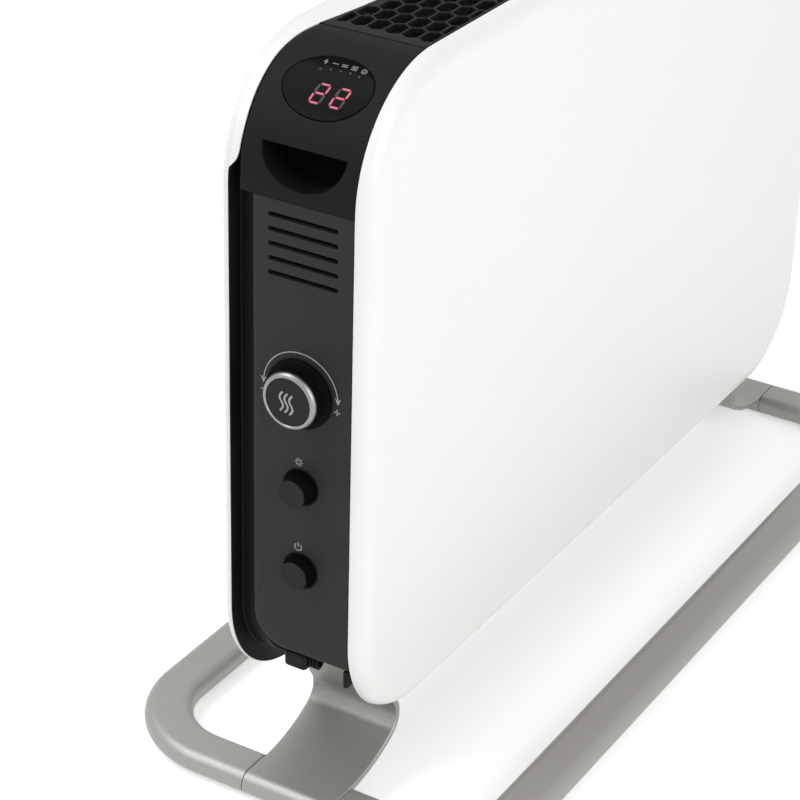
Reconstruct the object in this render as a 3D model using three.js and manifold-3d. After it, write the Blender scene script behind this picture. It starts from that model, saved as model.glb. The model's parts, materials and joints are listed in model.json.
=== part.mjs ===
// A free-standing electric convector heater: two pressed steel shells on a plastic core, with the
// controls in the left end, a honeycomb outlet on top and a sled stand of flat-oval tube below.
// Millimetres. X runs along the heater from the control end, Y from front to back, Z up.
// The origin is on the floor, under the middle of the stand.
import * as THREE from "three";
import { mergeVertices } from "three/addons/utils/BufferGeometryUtils.js";
import Module from "manifold-3d";

const wasm = await Module();
wasm.setup();

// ---------- driving dimensions ----------

// Body
const BODY_LENGTH = 600;
const BODY_HEIGHT = 402;
const BODY_LIFT = 56.6; // floor to the lowest edge of the shells
const CORE_DEPTH = 80; // black core between the two shells
const CORE_SHIFT = 6.5; // the core's middle lies this far behind the stand's middle
const TOP_RADIUS = 73;
const BOTTOM_RADIUS = 66;
const CORNER_STEPS = 9;
const FIT = 0.3; // gap between pieces that touch
const SKIRT_DEPTH = 48; // the shells hang this far below the base plate

// Shells
const SHELL_SHEET = 1.2;
const FRONT_CROWN = 9.6; // how far the front shell stands out of the core
const FRONT_EDGE = 13; // width of its rounded edge, seen from the front
const BACK_CROWN = 4;
const BACK_EDGE = 5;
const CROWN_STEPS = 4;
const SHELL_LIP = 1; // straight stretch at the back shell's edge
const FLANGE_RISE = 11; // the back shell's fold ends this far above the corner's start

// Front edge of the back shell's fold: pairs of the distance up the corner's curve, and on along
// the top, and the depth there. The notch's edge rounds its lower end, the fold's the rest.
const NOTCH_EDGE = [
  [10.8, 46.5],
  [11.9, 44],
  [15.2, 41.4],
  [19, 40.2],
  [24, 40],
];
const FOLD_EDGE = [
  [62, 40],
  [80, 38.9],
  [96, 36],
  [110, 32.1],
  [125, 29.6],
  [150, 26.3],
  [190, 23.8],
  [235, 23.2],
];
const FOLD_STEPS = 20;

// End caps and their finger grips
const CAP_WALL = 2.6;
const CAP_REACH = 67; // the caps reach this far in along the top
const GRIP_WIDTH = 52.5;
const GRIP_HEIGHT = 22;
const GRIP_RISE = 6.8; // the grip's lowest point above the corner's start
const GRIP_DEPTH = 25; // from the end plane to the grip's back wall
const GRIP_WALL = 2;
const GRIP_SHIFT = 2.4; // the grip and the window lie this far behind the controls

// End panels
const PANEL_WALL = 2.4;
const PANEL_INSET = 0.8; // the flat face lies this far inside the end plane
const PANEL_DEPTH = 20; // depth of the panel's side walls
const CHANNEL_WIDTH = 14.8; // dark channel between the panel and the back shell
const PANEL_CORNER = 22;

// Rear frames: a web inside the back shell's edge and the floor of the channel
const WEB_SHEET = 1.6;
const FLOOR_SHEET = 2.2;
const CHANNEL_DROP = 11;

// Vent slots in the end panel
const SLOT_COUNT = 5;
const SLOT_PITCH = 8.45;
const SLOT_LENGTH = 44;
const SLOT_HEIGHT = 3.2;
const SLOT_DROP = 9.6; // first slot below the corner's start
const SLOT_ARC_STEPS = 3;

// Controls, placed from the middle of the end panel
const CONTROL_OFFSET = -0.6; // controls lie this far in front of the panel's middle
const KNOB_SHIFT = 1; // and the knob this far behind the buttons
const KNOB_RISE = 30;
const FROST_BUTTON_DROP = 28.2;
const POWER_BUTTON_DROP = 82.2;

const KNOB_RADIUS = 17; // at its face
const KNOB_SKIRT_RADIUS = 20.6;
const KNOB_HEIGHT = 12.2;
const KNOB_SKIRT_HEIGHT = 2.6;
const KNOB_SKIRT_EDGE = 0.9;
const KNOB_RING_WIDTH = 3.2;
const KNOB_RING_DEPTH = 3;
const KNOB_RING_CHAMFER = 2;
const KNOB_INSERT_DEPTH = 1.6;
const SHAFT_RADIUS = 3;
const SHAFT_LENGTH = 12;
const ENCODER_SIZE = 16;
const ENCODER_DEPTH = 12;

const BUTTON_RADIUS = 8.6; // at its face
const BUTTON_BASE_RADIUS = 9.4;
const BUTTON_EDGE = 1;
const BUTTON_OUT = 10.4; // how far a released button stands out
const BUTTON_TRAVEL = 2.4; // stroke between released and latched
const BUTTON_ROOT = 3; // depth of the button's base inside the panel
const BUTTON_STEM = 9;
const COLLAR_WIDTH = 1.6; // raised ring round each button
const COLLAR_HEIGHT = 0.8;
const SWITCH_SIZE = 15;
const SWITCH_DEPTH = 16;
const ROUND_STEPS = 32;
const SMALL_STEPS = 12;

// Display in the left cap, placed by its distance from the corner's start, along the curve
const DISPLAY_DISTANCE = 65.4;
const WINDOW_WIDTH = 54;
const WINDOW_HEIGHT = 39.6;
const WINDOW_THICKNESS = 1.4;
const WINDOW_LEDGE = 1.8;
const DIGITS_WIDTH = 28;
const DIGITS_HEIGHT = 18;
const DIGITS_DEPTH = 7;
const DIGITS_DROP = 5; // the digits sit below and in front of the window's middle
const DIGITS_SHIFT = 3;
const BOARD_SHEET = 1.6;
const DISPLAY_BOARD_WIDTH = 58;
const DISPLAY_BOARD_HEIGHT = 28;
const BOSS_RADIUS = 3;

// Honeycomb outlet grille
const GRILLE_DEPTH = 3; // height of its ribs
const CELL_PITCH_X = 14.5;
const CELL_PITCH_Y = 10.65;
const RIB_WIDTH = 1.5;
const GRILLE_BORDER = 1.6;
const HALF_CELL_LEAST = 2.5;

// Base plate with its intake slots
const BASE_SHEET = 2;
const INTAKE_PITCH = 25;
const INTAKE_WIDTH = 9;
const INTAKE_MARGIN_Y = 9;
const INTAKE_MARGIN_X = 62;

// Inside
const PARTITION_SHEET = 1.5;
const PARTITION_INSET = 70; // from the end plane
const PARTITION_HEIGHT = 330;
const SHIELD_SHEET = 0.8;
const SHIELD_INSET = 3;
const ELEMENT_WING = 24; // reach of each wing of the cross-shaped element
const ELEMENT_RIB = 3;
const ELEMENT_HUB = 7;
const ELEMENT_END_GAP = 8;
const ELEMENT_FIRST = 55; // lower element above the base plate
const ELEMENT_SPACING = 62;
const ELEMENT_COUNT = 2;
const PIN_RADIUS = 4;
const BUSH_RADIUS = 8;
const BUSH_LENGTH = 9;
const CUTOUT_RADIUS = 8;
const CUTOUT_DEPTH = 7;
const CUTOUT_FLANGE_WIDTH = 25.6;
const CUTOUT_FLANGE_HEIGHT = 8;
const CUTOUT_FLANGE_SHEET = 1;
const POWER_BOARD_WIDTH = 56;
const POWER_BOARD_HEIGHT = 120;
const POWER_BOARD_STANDOFF = 8;
const TERMINAL_RISE = 9; // terminal block's lower edge above the board's
const RELAY_WIDTH = 16;
const RELAY_HEIGHT = 20;
const RELAY_DEPTH = 13;
const TERMINAL_WIDTH = 34;
const TERMINAL_HEIGHT = 14;
const TERMINAL_DEPTH = 15;
const SENSOR_RADIUS = 2.5;
const SENSOR_LENGTH = 10;
const SENSOR_FOOT_WIDTH = 15;
const SENSOR_FOOT_SHEET = 2;
const TILT_WIDTH = 18;
const TILT_HEIGHT = 18;
const TILT_DEPTH = 12.6;
const TILT_CAP_RADIUS = 5.4;
const TILT_CAP_HEIGHT = 3.6;
const LOOM_RADIUS = 2.2;
const LOOM_STEPS = 14;
const LOOM_ROUND_STEPS = 4;

// Cable inlet and clip under the left end
const INLET_WIDTH = 15;
const INLET_DEPTH = 14;
const INLET_HEIGHT = 11;
const INLET_BUSH_LENGTH = 6;
const INLET_BUSH_RADIUS = 4.4;
const INLET_BUSH_CORE = 3.5;
const INLET_BACK = 12; // its rear face lies this far behind the controls
const INLET_RIBS = 3;
const CLIP_WIDTH = 7;
const CLIP_HEIGHT = 13;
const CLIP_THICKNESS = 4;

// Stand
const TUBE_WIDTH = 30;
const TUBE_HEIGHT = 15;
const LOOP_DEPTH = 267;
const LOOP_OVERHANG = 13.6; // the loop stands out past the body's ends
const BEND_RADIUS = 53;
const BEND_STEPS = 7;
const TUBE_ROUND_STEPS = 8;
const FOOT_WIDTH = 60;
const FOOT_SHEET = 4;
const FOOT_LEAD = 9;
const FOOT_RAMP_RADIUS = 95;
const FOOT_RAMP_ANGLE = 30;
const FOOT_BEND_RADIUS = 14;
const FOOT_BEND_ANGLE = 90;
const FOOT_NECK_RADIUS = 9;
const FOOT_TAB = 26;
const SCREW_RADIUS = 2.5;
const SCREW_HEAD_RADIUS = 4.6;
const SCREW_HEAD_HEIGHT = 2.8;
const SCREW_SPACING = 36;
const SCREW_CLEARANCE = 0.3;
const PAD_LENGTH = 24;
const PAD_WIDTH = 12;
const PAD_THICKNESS = 1.6;
const PAD_INSET = 78; // from the body's end to each pad

// ---------- places worked out from them ----------

const END = BODY_LENGTH / 2;
const BODY_TOP = BODY_LIFT + BODY_HEIGHT;
const CORE_FRONT = CORE_SHIFT - CORE_DEPTH / 2;
const CORE_BACK = CORE_SHIFT + CORE_DEPTH / 2;
const CORNER_START = BODY_TOP - TOP_RADIUS; // where the upper corners leave the straight ends
const PANEL_FRONT = CORE_FRONT + FIT;
const PANEL_BACK = CORE_BACK - CHANNEL_WIDTH;
const FOLD_FRONT = FOLD_EDGE[0][1];
const BASE_BOTTOM = BODY_LIFT + SKIRT_DEPTH;
const BASE_TOP = BASE_BOTTOM + BASE_SHEET;
const PANEL_TOP = CORNER_START - FIT;
const CONTROL_Y = (PANEL_FRONT + PANEL_BACK) / 2 + CONTROL_OFFSET;
const KNOB_Y = CONTROL_Y + KNOB_SHIFT;
const GRIP_Y = CONTROL_Y + GRIP_SHIFT;
const CONTROL_MIDDLE = (PANEL_TOP + BASE_BOTTOM) / 2;
const KNOB_Z = CONTROL_MIDDLE + KNOB_RISE;
const FROST_Z = CONTROL_MIDDLE - FROST_BUTTON_DROP;
const POWER_Z = CONTROL_MIDDLE - POWER_BUTTON_DROP;
const FACE_X = -END + PANEL_INSET;
const FACE_INNER_X = FACE_X + PANEL_WALL;
const TUBE_BOTTOM = PAD_THICKNESS + FIT;
const TUBE_MIDDLE = TUBE_BOTTOM + TUBE_HEIGHT / 2;
const BAR_X = END + LOOP_OVERHANG - TUBE_WIDTH / 2; // middle of the loop's end bars
const RAIL_Y = LOOP_DEPTH / 2 - TUBE_WIDTH / 2; // middle of its front and rear bars
const PARTITION_X = END - PARTITION_INSET;
const PARTITION_TOP = BASE_TOP + FIT + PARTITION_HEIGHT;
const HOUSING_INNER_X = FACE_X + PANEL_DEPTH;

// ---------- finishes ----------

function finish(color, roughness, metalness = 0) {
  return () => new THREE.MeshStandardMaterial({ color, roughness, metalness });
}
const FINISH = {
  whiteEnamel: finish(0xf2f1ee, 0.35),
  blackPlastic: finish(0x2b2b2a, 0.55),
  darkPlastic: finish(0x1c1c1b, 0.5),
  silverPaint: finish(0x8f8f8b, 0.4, 0.5),
  chrome: finish(0xc8c8c8, 0.2, 1),
  smokedWindow: finish(0x0c0c0d, 0.12),
  castAluminium: finish(0xa8aaab, 0.5, 1),
  zincSheet: finish(0xb4b6b6, 0.45, 1),
  ceramic: finish(0xe6e0d2, 0.6),
  circuitBoard: finish(0x1f5a38, 0.5),
  blackRubber: finish(0x161616, 0.8),
  paleNylon: finish(0xdedad0, 0.5),
};

// ---------- solids ----------

// A closed geometry as a manifold-3d solid, with its faces turned to point out.
function solid(geometry) {
  const bare = new THREE.BufferGeometry();
  bare.setAttribute("position", geometry.getAttribute("position"));
  if (geometry.index) bare.setIndex(geometry.index);
  const merged = mergeVertices(bare, 1e-4);
  const vertProperties = new Float32Array(merged.attributes.position.array);
  const triVerts = new Uint32Array(merged.index.array);
  if (signedVolume(vertProperties, triVerts) < 0) triVerts.reverse();
  return new wasm.Manifold(new wasm.Mesh({ numProp: 3, vertProperties, triVerts }));
}

function signedVolume(positions, index) {
  const corner = [new THREE.Vector3(), new THREE.Vector3(), new THREE.Vector3()];
  let sum = 0;
  for (let i = 0; i < index.length; i += 3) {
    corner.forEach((c, k) => c.fromArray(positions, 3 * index[i + k]));
    sum += corner[0].dot(corner[1].cross(corner[2]));
  }
  return sum;
}

function geometryOf(made) {
  const mesh = made.getMesh();
  const geometry = new THREE.BufferGeometry();
  geometry.setAttribute("position", new THREE.BufferAttribute(mesh.vertProperties, 3));
  geometry.setIndex(new THREE.BufferAttribute(mesh.triVerts, 1));
  return geometry;
}

function box(x0, x1, y0, y1, z0, z1) {
  const geometry = new THREE.BoxGeometry(x1 - x0, y1 - y0, z1 - z0);
  return solid(geometry.translate((x0 + x1) / 2, (y0 + y1) / 2, (z0 + z1) / 2));
}

function extruded(shape, depth, curveSegments) {
  return new THREE.ExtrudeGeometry(shape, { depth, bevelEnabled: false, curveSegments });
}

// A shape drawn in (x, y), standing from z0 to z1.
function prismZ(shape, z0, z1, arcSteps = CORNER_STEPS) {
  return solid(extruded(shape, z1 - z0, arcSteps).translate(0, 0, z0));
}

// A shape drawn in (x, z), running from y0 to y1.
function prismY(shape, y0, y1, arcSteps = CORNER_STEPS) {
  return solid(extruded(shape, y1 - y0, arcSteps).rotateX(Math.PI / 2).translate(0, y1, 0));
}

// A shape drawn in (y, z), running from x0 to x1.
function prismX(shape, x0, x1, arcSteps = CORNER_STEPS) {
  const turn = new THREE.Matrix4().makeBasis(
    new THREE.Vector3(0, 1, 0),
    new THREE.Vector3(0, 0, 1),
    new THREE.Vector3(1, 0, 0),
  );
  return solid(extruded(shape, x1 - x0, arcSteps).applyMatrix4(turn).translate(x0, 0, 0));
}

// A profile of [radius, outward distance] points turned about an axis that runs along X.
function turnedOutward(profile, x, y, z, steps = ROUND_STEPS) {
  const points = profile.map(([r, h]) => new THREE.Vector2(r, h));
  const geometry = new THREE.LatheGeometry(points, steps);
  return solid(geometry.rotateZ(Math.PI / 2).translate(x, y, z));
}

// A plain round bar along X.
function rodX(radius, x0, x1, y, z, steps = SMALL_STEPS) {
  const geometry = new THREE.CylinderGeometry(radius, radius, x1 - x0, steps);
  return solid(geometry.rotateZ(Math.PI / 2).translate((x0 + x1) / 2, y, z));
}

// A plain round bar along Y.
function rodY(radius, y0, y1, x, z, steps = SMALL_STEPS) {
  const geometry = new THREE.CylinderGeometry(radius, radius, y1 - y0, steps);
  return solid(geometry.translate(x, (y0 + y1) / 2, z));
}

// A plain round bar along Z.
function rodZ(radius, z0, z1, x, y, steps = SMALL_STEPS) {
  const geometry = new THREE.CylinderGeometry(radius, radius, z1 - z0, steps);
  return solid(geometry.rotateX(Math.PI / 2).translate(x, y, (z0 + z1) / 2));
}

// Rings of equal length joined into one closed solid, with a fan over the first and the last.
function loft(rings) {
  const count = rings[0].length;
  const positions = [];
  const index = [];
  rings.forEach((ring) => ring.forEach((p) => positions.push(p.x, p.y, p.z)));
  for (let r = 0; r + 1 < rings.length; r++) {
    for (let i = 0; i < count; i++) {
      const a = r * count + i;
      const b = r * count + ((i + 1) % count);
      index.push(a, b, a + count, b, b + count, a + count);
    }
  }
  [0, rings.length - 1].forEach((r) => {
    const centre = rings[r].reduce((s, p) => s.add(p), new THREE.Vector3()).divideScalar(count);
    const hub = positions.length / 3;
    positions.push(centre.x, centre.y, centre.z);
    for (let i = 0; i < count; i++) {
      const a = r * count + i;
      const b = r * count + ((i + 1) % count);
      if (r === 0) index.push(b, a, hub);
      else index.push(a, b, hub);
    }
  });
  const geometry = new THREE.BufferGeometry();
  geometry.setAttribute("position", new THREE.Float32BufferAttribute(positions, 3));
  geometry.setIndex(index);
  return solid(geometry);
}

// ---------- outlines ----------

// The body's outline in (x, z), drawn in from its edge by inset.
function bodyOutline(inset) {
  const side = END - inset;
  const bottom = BODY_LIFT + inset;
  const top = BODY_TOP - inset;
  const topRadius = TOP_RADIUS - inset;
  const lowRadius = BOTTOM_RADIUS - inset;
  const corners = [
    [side - lowRadius, bottom + lowRadius, lowRadius, 3],
    [side - topRadius, top - topRadius, topRadius, 0],
    [topRadius - side, top - topRadius, topRadius, 1],
    [lowRadius - side, bottom + lowRadius, lowRadius, 2],
  ];
  return corners.flatMap(([x, z, radius, quarter]) =>
    Array.from({ length: CORNER_STEPS + 1 }, (_, i) => {
      const angle = ((quarter + i / CORNER_STEPS) * Math.PI) / 2;
      return new THREE.Vector2(x + radius * Math.cos(angle), z + radius * Math.sin(angle));
    }),
  );
}

function outlineRing(inset, y) {
  return bodyOutline(inset).map((p) => new THREE.Vector3(p.x, y, p.y));
}

// A band along the body's outline, from one inset to another, between two depths.
function outlineBand(outer, inner, y0, y1) {
  const shape = new THREE.Shape(bodyOutline(outer));
  shape.holes.push(new THREE.Path(bodyOutline(inner)));
  return prismY(shape, y0, y1);
}

function roundedRect(target, u0, u1, v0, v1, radii) {
  const [lowLeft, lowRight, topRight, topLeft] = radii;
  target.moveTo(u0 + lowLeft, v0);
  target.lineTo(u1 - lowRight, v0);
  if (lowRight) target.absarc(u1 - lowRight, v0 + lowRight, lowRight, -Math.PI / 2, 0, false);
  target.lineTo(u1, v1 - topRight);
  if (topRight) target.absarc(u1 - topRight, v1 - topRight, topRight, 0, Math.PI / 2, false);
  target.lineTo(u0 + topLeft, v1);
  if (topLeft) target.absarc(u0 + topLeft, v1 - topLeft, topLeft, Math.PI / 2, Math.PI, false);
  target.lineTo(u0, v0 + lowLeft);
  if (lowLeft) target.absarc(u0 + lowLeft, v0 + lowLeft, lowLeft, Math.PI, Math.PI * 1.5, false);
  return target;
}

// A slot with round ends, long in the first direction.
function stadium(target, u, v, length, height) {
  const r = height / 2;
  return roundedRect(target, u - length / 2, u + length / 2, v - r, v + r, [r, r, r, r]);
}

// ---------- shells ----------

// A pressed pan: its edge at edgeY, standing out by crown towards side (-1 front, 1 back).
function pressedPan(edgeY, lip, crown, edge, side) {
  const rings = [];
  const addRings = (inset, shift) => {
    const steps = [];
    for (let i = CROWN_STEPS; i >= 0; i--) {
      const angle = ((i / CROWN_STEPS) * Math.PI) / 2;
      const reach = crown * Math.sin(angle) - shift * (i / CROWN_STEPS);
      steps.push(outlineRing(inset + edge * (1 - Math.cos(angle)), edgeY + side * (lip + reach)));
    }
    if (lip > 0) steps.push(outlineRing(inset, edgeY));
    return steps;
  };
  rings.push(...addRings(0, 0));
  rings.push(...addRings(SHELL_SHEET, SHELL_SHEET).reverse());
  return loft(rings);
}

function frontShell() {
  return pressedPan(CORE_FRONT, 0, FRONT_CROWN, FRONT_EDGE, -1);
}

// The X of a point so far up the left corner's curve, or on along the top.
function alongTop(distance) {
  const arc = (TOP_RADIUS * Math.PI) / 2;
  if (distance > arc) return TOP_RADIUS - END + distance - arc;
  return TOP_RADIUS - END - TOP_RADIUS * Math.cos(distance / TOP_RADIUS);
}

// The fold's front edge in (x, y), from the left end to the middle.
const foldEdge = new THREE.SplineCurve(
  FOLD_EDGE.map(([distance, y]) => new THREE.Vector2(alongTop(distance), y)),
).getPoints(FOLD_STEPS);

function foldFrontAt(x) {
  const next = foldEdge.findIndex((p) => p.x >= -Math.abs(x));
  if (next < 0) return foldEdge[FOLD_STEPS].y;
  if (next === 0) return FOLD_FRONT;
  const [a, b] = [foldEdge[next - 1], foldEdge[next]];
  return a.y + ((b.y - a.y) * (-Math.abs(x) - a.x)) / (b.x - a.x);
}

// All that lies in front of the fold's edge, less shift, above the corners' start.
function beforeFold(shift) {
  const left = foldEdge.map((p) => new THREE.Vector2(p.x, p.y - shift));
  const right = left.map((p) => new THREE.Vector2(-p.x, p.y)).reverse();
  const ends = [-END - 1, END + 1];
  const [start, end] = ends.map((x) => new THREE.Vector2(x, FOLD_FRONT - shift));
  const [startFront, endFront] = ends.map((x) => new THREE.Vector2(x, CORE_FRONT - 1));
  const shape = new THREE.Shape([startFront, start, ...left, ...right, end, endFront]);
  return prismZ(shape, CORNER_START, BODY_TOP + 1);
}

// All that lies in front of and below the notch at the fold's lower ends.
function belowNotch() {
  const edge = NOTCH_EDGE.map(([distance, y]) => {
    const rise = TOP_RADIUS * Math.sin(distance / TOP_RADIUS);
    return new THREE.Vector2(y, CORNER_START + rise);
  });
  const [lowest, highest] = [edge[0], edge[edge.length - 1]];
  const shape = new THREE.Shape([
    ...edge,
    new THREE.Vector2(CORE_FRONT, highest.y),
    new THREE.Vector2(CORE_FRONT, CORNER_START - 1),
    new THREE.Vector2(lowest.x, CORNER_START - 1),
  ]);
  return prismX(shape, -END - 1, END + 1);
}

// The back shell also folds forward over the top and the upper corners.
function backShell() {
  const edgeY = CORE_BACK - SHELL_LIP;
  const pan = pressedPan(edgeY, SHELL_LIP, BACK_CROWN, BACK_EDGE, 1);
  const front = foldEdge[FOLD_STEPS].y - 1;
  const above = box(-END - 1, END + 1, front, CORE_BACK, CORNER_START, BODY_TOP + 1);
  const band = outlineBand(0, SHELL_SHEET, front, edgeY + SHELL_LIP / 2).intersect(above);
  return pan.add(band.subtract(beforeFold(0)).subtract(belowNotch()));
}

// ---------- end caps ----------

// The part of the body's outline band that an end cap covers; side is -1 left, 1 right.
function capBand(outer, inner, side) {
  const x0 = side < 0 ? -END - 1 : END - CAP_REACH + FIT;
  const x1 = side < 0 ? -END + CAP_REACH - FIT : END + 1;
  const range = box(x0, x1, PANEL_FRONT - 1, CORE_BACK, CORNER_START, BODY_TOP + 1);
  const band = outlineBand(outer, inner, PANEL_FRONT, FOLD_FRONT);
  return band.intersect(range).intersect(beforeFold(FIT));
}

// The half-round finger grip, straight at the top, grown by extra on its round side.
function gripShape(extra) {
  const top = CORNER_START + GRIP_RISE + GRIP_HEIGHT + extra;
  const across = GRIP_WIDTH / 2 + extra;
  const shape = new THREE.Shape();
  shape.moveTo(GRIP_Y + across, top);
  shape.absellipse(GRIP_Y, top, across, GRIP_HEIGHT + 2 * extra, 0, Math.PI, true);
  return shape;
}

function mirroredX(made, side) {
  return side < 0 ? made : made.scale([-1, 1, 1]);
}

// A pocket for the fingers behind the cap's curved wall, made for the left end.
function gripCup() {
  const outside = new THREE.Shape(bodyOutline(CAP_WALL / 2));
  const inside = prismY(outside, PANEL_FRONT, PANEL_BACK);
  return prismX(gripShape(GRIP_WALL), -END, -END + GRIP_DEPTH + GRIP_WALL).intersect(inside);
}

function gripPocket() {
  return prismX(gripShape(0), -END - 1, -END + GRIP_DEPTH);
}

function endCap(side) {
  const cap = capBand(0, CAP_WALL, side);
  const cup = mirroredX(gripCup(), side);
  return cap.add(cup).subtract(mirroredX(gripPocket(), side));
}

// The display's own frame: local x runs along -Y, y up the curve, z out of the surface.
const DISPLAY_ANGLE = DISPLAY_DISTANCE / TOP_RADIUS;
const displayFrame = new THREE.Matrix4()
  .makeTranslation(TOP_RADIUS - END, GRIP_Y, CORNER_START)
  .multiply(
    new THREE.Matrix4().makeBasis(
      new THREE.Vector3(0, -1, 0),
      new THREE.Vector3(Math.sin(DISPLAY_ANGLE), 0, Math.cos(DISPLAY_ANGLE)),
      new THREE.Vector3(-Math.cos(DISPLAY_ANGLE), 0, Math.sin(DISPLAY_ANGLE)),
    ),
  );

// An upright oval through the cap's wall, smaller than the window by shrink all round.
function ovalPlug(shrink) {
  const across = WINDOW_WIDTH / 2 - shrink;
  const along = TOP_RADIUS * Math.sin(WINDOW_HEIGHT / 2 / TOP_RADIUS) - shrink;
  const shape = new THREE.Shape();
  shape.absellipse(0, 0, across, along, 0, 2 * Math.PI, false);
  const low = TOP_RADIUS - across;
  const geometry = extruded(shape, TOP_RADIUS + 1 - low, ROUND_STEPS);
  return solid(geometry.translate(0, 0, low).applyMatrix4(displayFrame));
}

const BOARD_OUTER = TOP_RADIUS - CAP_WALL - DIGITS_DEPTH - 3 * FIT - WINDOW_LEDGE;

function displayBosses() {
  const offset = DISPLAY_BOARD_WIDTH / 2 - BOSS_RADIUS;
  const reach = TOP_RADIUS - CAP_WALL / 2;
  return [-1, 1].map((s) => {
    const low = BOARD_OUTER + FIT;
    const post = new THREE.CylinderGeometry(BOSS_RADIUS, BOSS_RADIUS, reach - low, SMALL_STEPS);
    post.rotateX(Math.PI / 2).translate(s * offset, 0, (reach + low) / 2);
    return solid(post.applyMatrix4(displayFrame));
  });
}

function leftEndCap() {
  let cap = endCap(-1);
  displayBosses().forEach((boss) => (cap = cap.add(boss)));
  const recess = capBand(-1, WINDOW_THICKNESS + FIT, -1).intersect(ovalPlug(0));
  return cap.subtract(recess).subtract(ovalPlug(WINDOW_LEDGE));
}

function displayWindow() {
  return capBand(0, WINDOW_THICKNESS, -1).intersect(ovalPlug(FIT));
}

// A block facing out of the display's frame, with its middle at x and y.
function inDisplayFrame(x, y, width, height, low, high) {
  const geometry = new THREE.BoxGeometry(width, height, high - low);
  return solid(geometry.translate(x, y, (low + high) / 2).applyMatrix4(displayFrame));
}

function displayBoard() {
  const low = BOARD_OUTER - BOARD_SHEET;
  return inDisplayFrame(0, 0, DISPLAY_BOARD_WIDTH, DISPLAY_BOARD_HEIGHT, low, BOARD_OUTER);
}

function displayModule() {
  const low = BOARD_OUTER + FIT;
  const high = low + DIGITS_DEPTH;
  return inDisplayFrame(DIGITS_SHIFT, -DIGITS_DROP, DIGITS_WIDTH, DIGITS_HEIGHT, low, high);
}

// ---------- end panels ----------

function panelShape(inset) {
  return roundedRect(
    new THREE.Shape(),
    PANEL_FRONT + inset,
    PANEL_BACK - inset,
    BASE_BOTTOM + inset,
    PANEL_TOP - inset,
    [0, PANEL_CORNER - inset, 0, 0],
  );
}

function plainPanel() {
  const tray = prismX(panelShape(0), FACE_X, FACE_X + PANEL_DEPTH);
  return tray.subtract(prismX(panelShape(PANEL_WALL), FACE_INNER_X, FACE_X + PANEL_DEPTH + 1));
}

function ventSlots() {
  return Array.from({ length: SLOT_COUNT }, (_, i) => {
    const slot = stadium(
      new THREE.Shape(),
      CONTROL_Y,
      CORNER_START - SLOT_DROP - i * SLOT_PITCH,
      SLOT_LENGTH,
      SLOT_HEIGHT,
    );
    return prismX(slot, FACE_X - 1, FACE_INNER_X + 1, SLOT_ARC_STEPS);
  });
}

const BUTTON_HOLE = BUTTON_BASE_RADIUS + FIT;

function buttonCollar(z) {
  const radius = BUTTON_HOLE + COLLAR_WIDTH;
  return rodX(radius, FACE_X - COLLAR_HEIGHT, FACE_INNER_X, CONTROL_Y, z, ROUND_STEPS);
}

function buttonHole(z) {
  const start = FACE_X - 2 * COLLAR_HEIGHT;
  return rodX(BUTTON_HOLE, start, FACE_INNER_X + 1, CONTROL_Y, z, ROUND_STEPS);
}

function controlPanel() {
  let panel = plainPanel().add(buttonCollar(FROST_Z)).add(buttonCollar(POWER_Z));
  ventSlots().forEach((slot) => (panel = panel.subtract(slot)));
  const shaftHole = rodX(SHAFT_RADIUS + FIT, FACE_X - 1, FACE_INNER_X + 1, KNOB_Y, KNOB_Z);
  return panel.subtract(buttonHole(FROST_Z)).subtract(buttonHole(POWER_Z)).subtract(shaftHole);
}

// The black frame that shows beside the panel: web and channel floor.
function rearFrame(side) {
  const top = CORNER_START + FLANGE_RISE - FIT;
  const edge = CORE_BACK - SHELL_LIP - FIT;
  const web = outlineBand(0, CHANNEL_DROP, edge - WEB_SHEET, edge);
  const floor = outlineBand(CHANNEL_DROP - FLOOR_SHEET, CHANNEL_DROP, PANEL_BACK + FIT, edge);
  const x1 = BOTTOM_RADIUS - END;
  const webRoom = box(-END - 1, x1, CORE_FRONT, CORE_BACK, BODY_LIFT - 1, top);
  const floorRoom = box(-END - 1, x1, CORE_FRONT, CORE_BACK, BODY_LIFT - 1, PANEL_TOP);
  return mirroredX(web.intersect(webRoom).add(floor.intersect(floorRoom)), side);
}

// ---------- controls ----------

const KNOB_BASE_X = FACE_X - FIT;

function knobBody() {
  const rimHeight = KNOB_HEIGHT - KNOB_RING_DEPTH;
  const innerRadius = KNOB_RADIUS - KNOB_RING_WIDTH - FIT;
  const profile = [
    [0, -SHAFT_LENGTH],
    [SHAFT_RADIUS, -SHAFT_LENGTH],
    [SHAFT_RADIUS, 0],
    [KNOB_SKIRT_RADIUS, 0],
    [KNOB_SKIRT_RADIUS, KNOB_SKIRT_HEIGHT - KNOB_SKIRT_EDGE],
    [KNOB_SKIRT_RADIUS - KNOB_SKIRT_EDGE, KNOB_SKIRT_HEIGHT],
    [KNOB_RADIUS, rimHeight],
    [innerRadius, rimHeight],
    [innerRadius, KNOB_HEIGHT - KNOB_INSERT_DEPTH - FIT],
    [0, KNOB_HEIGHT - KNOB_INSERT_DEPTH - FIT],
  ];
  return turnedOutward(profile, KNOB_BASE_X, KNOB_Y, KNOB_Z);
}

function knobRing() {
  const low = KNOB_HEIGHT - KNOB_RING_DEPTH + FIT;
  const inner = KNOB_RADIUS - KNOB_RING_WIDTH;
  const profile = [
    [inner, low],
    [KNOB_RADIUS, low],
    [KNOB_RADIUS, KNOB_HEIGHT - KNOB_RING_CHAMFER],
    [KNOB_RADIUS - KNOB_RING_CHAMFER, KNOB_HEIGHT],
    [inner, KNOB_HEIGHT],
    [inner, low],
  ];
  return turnedOutward(profile, KNOB_BASE_X, KNOB_Y, KNOB_Z);
}

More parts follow.
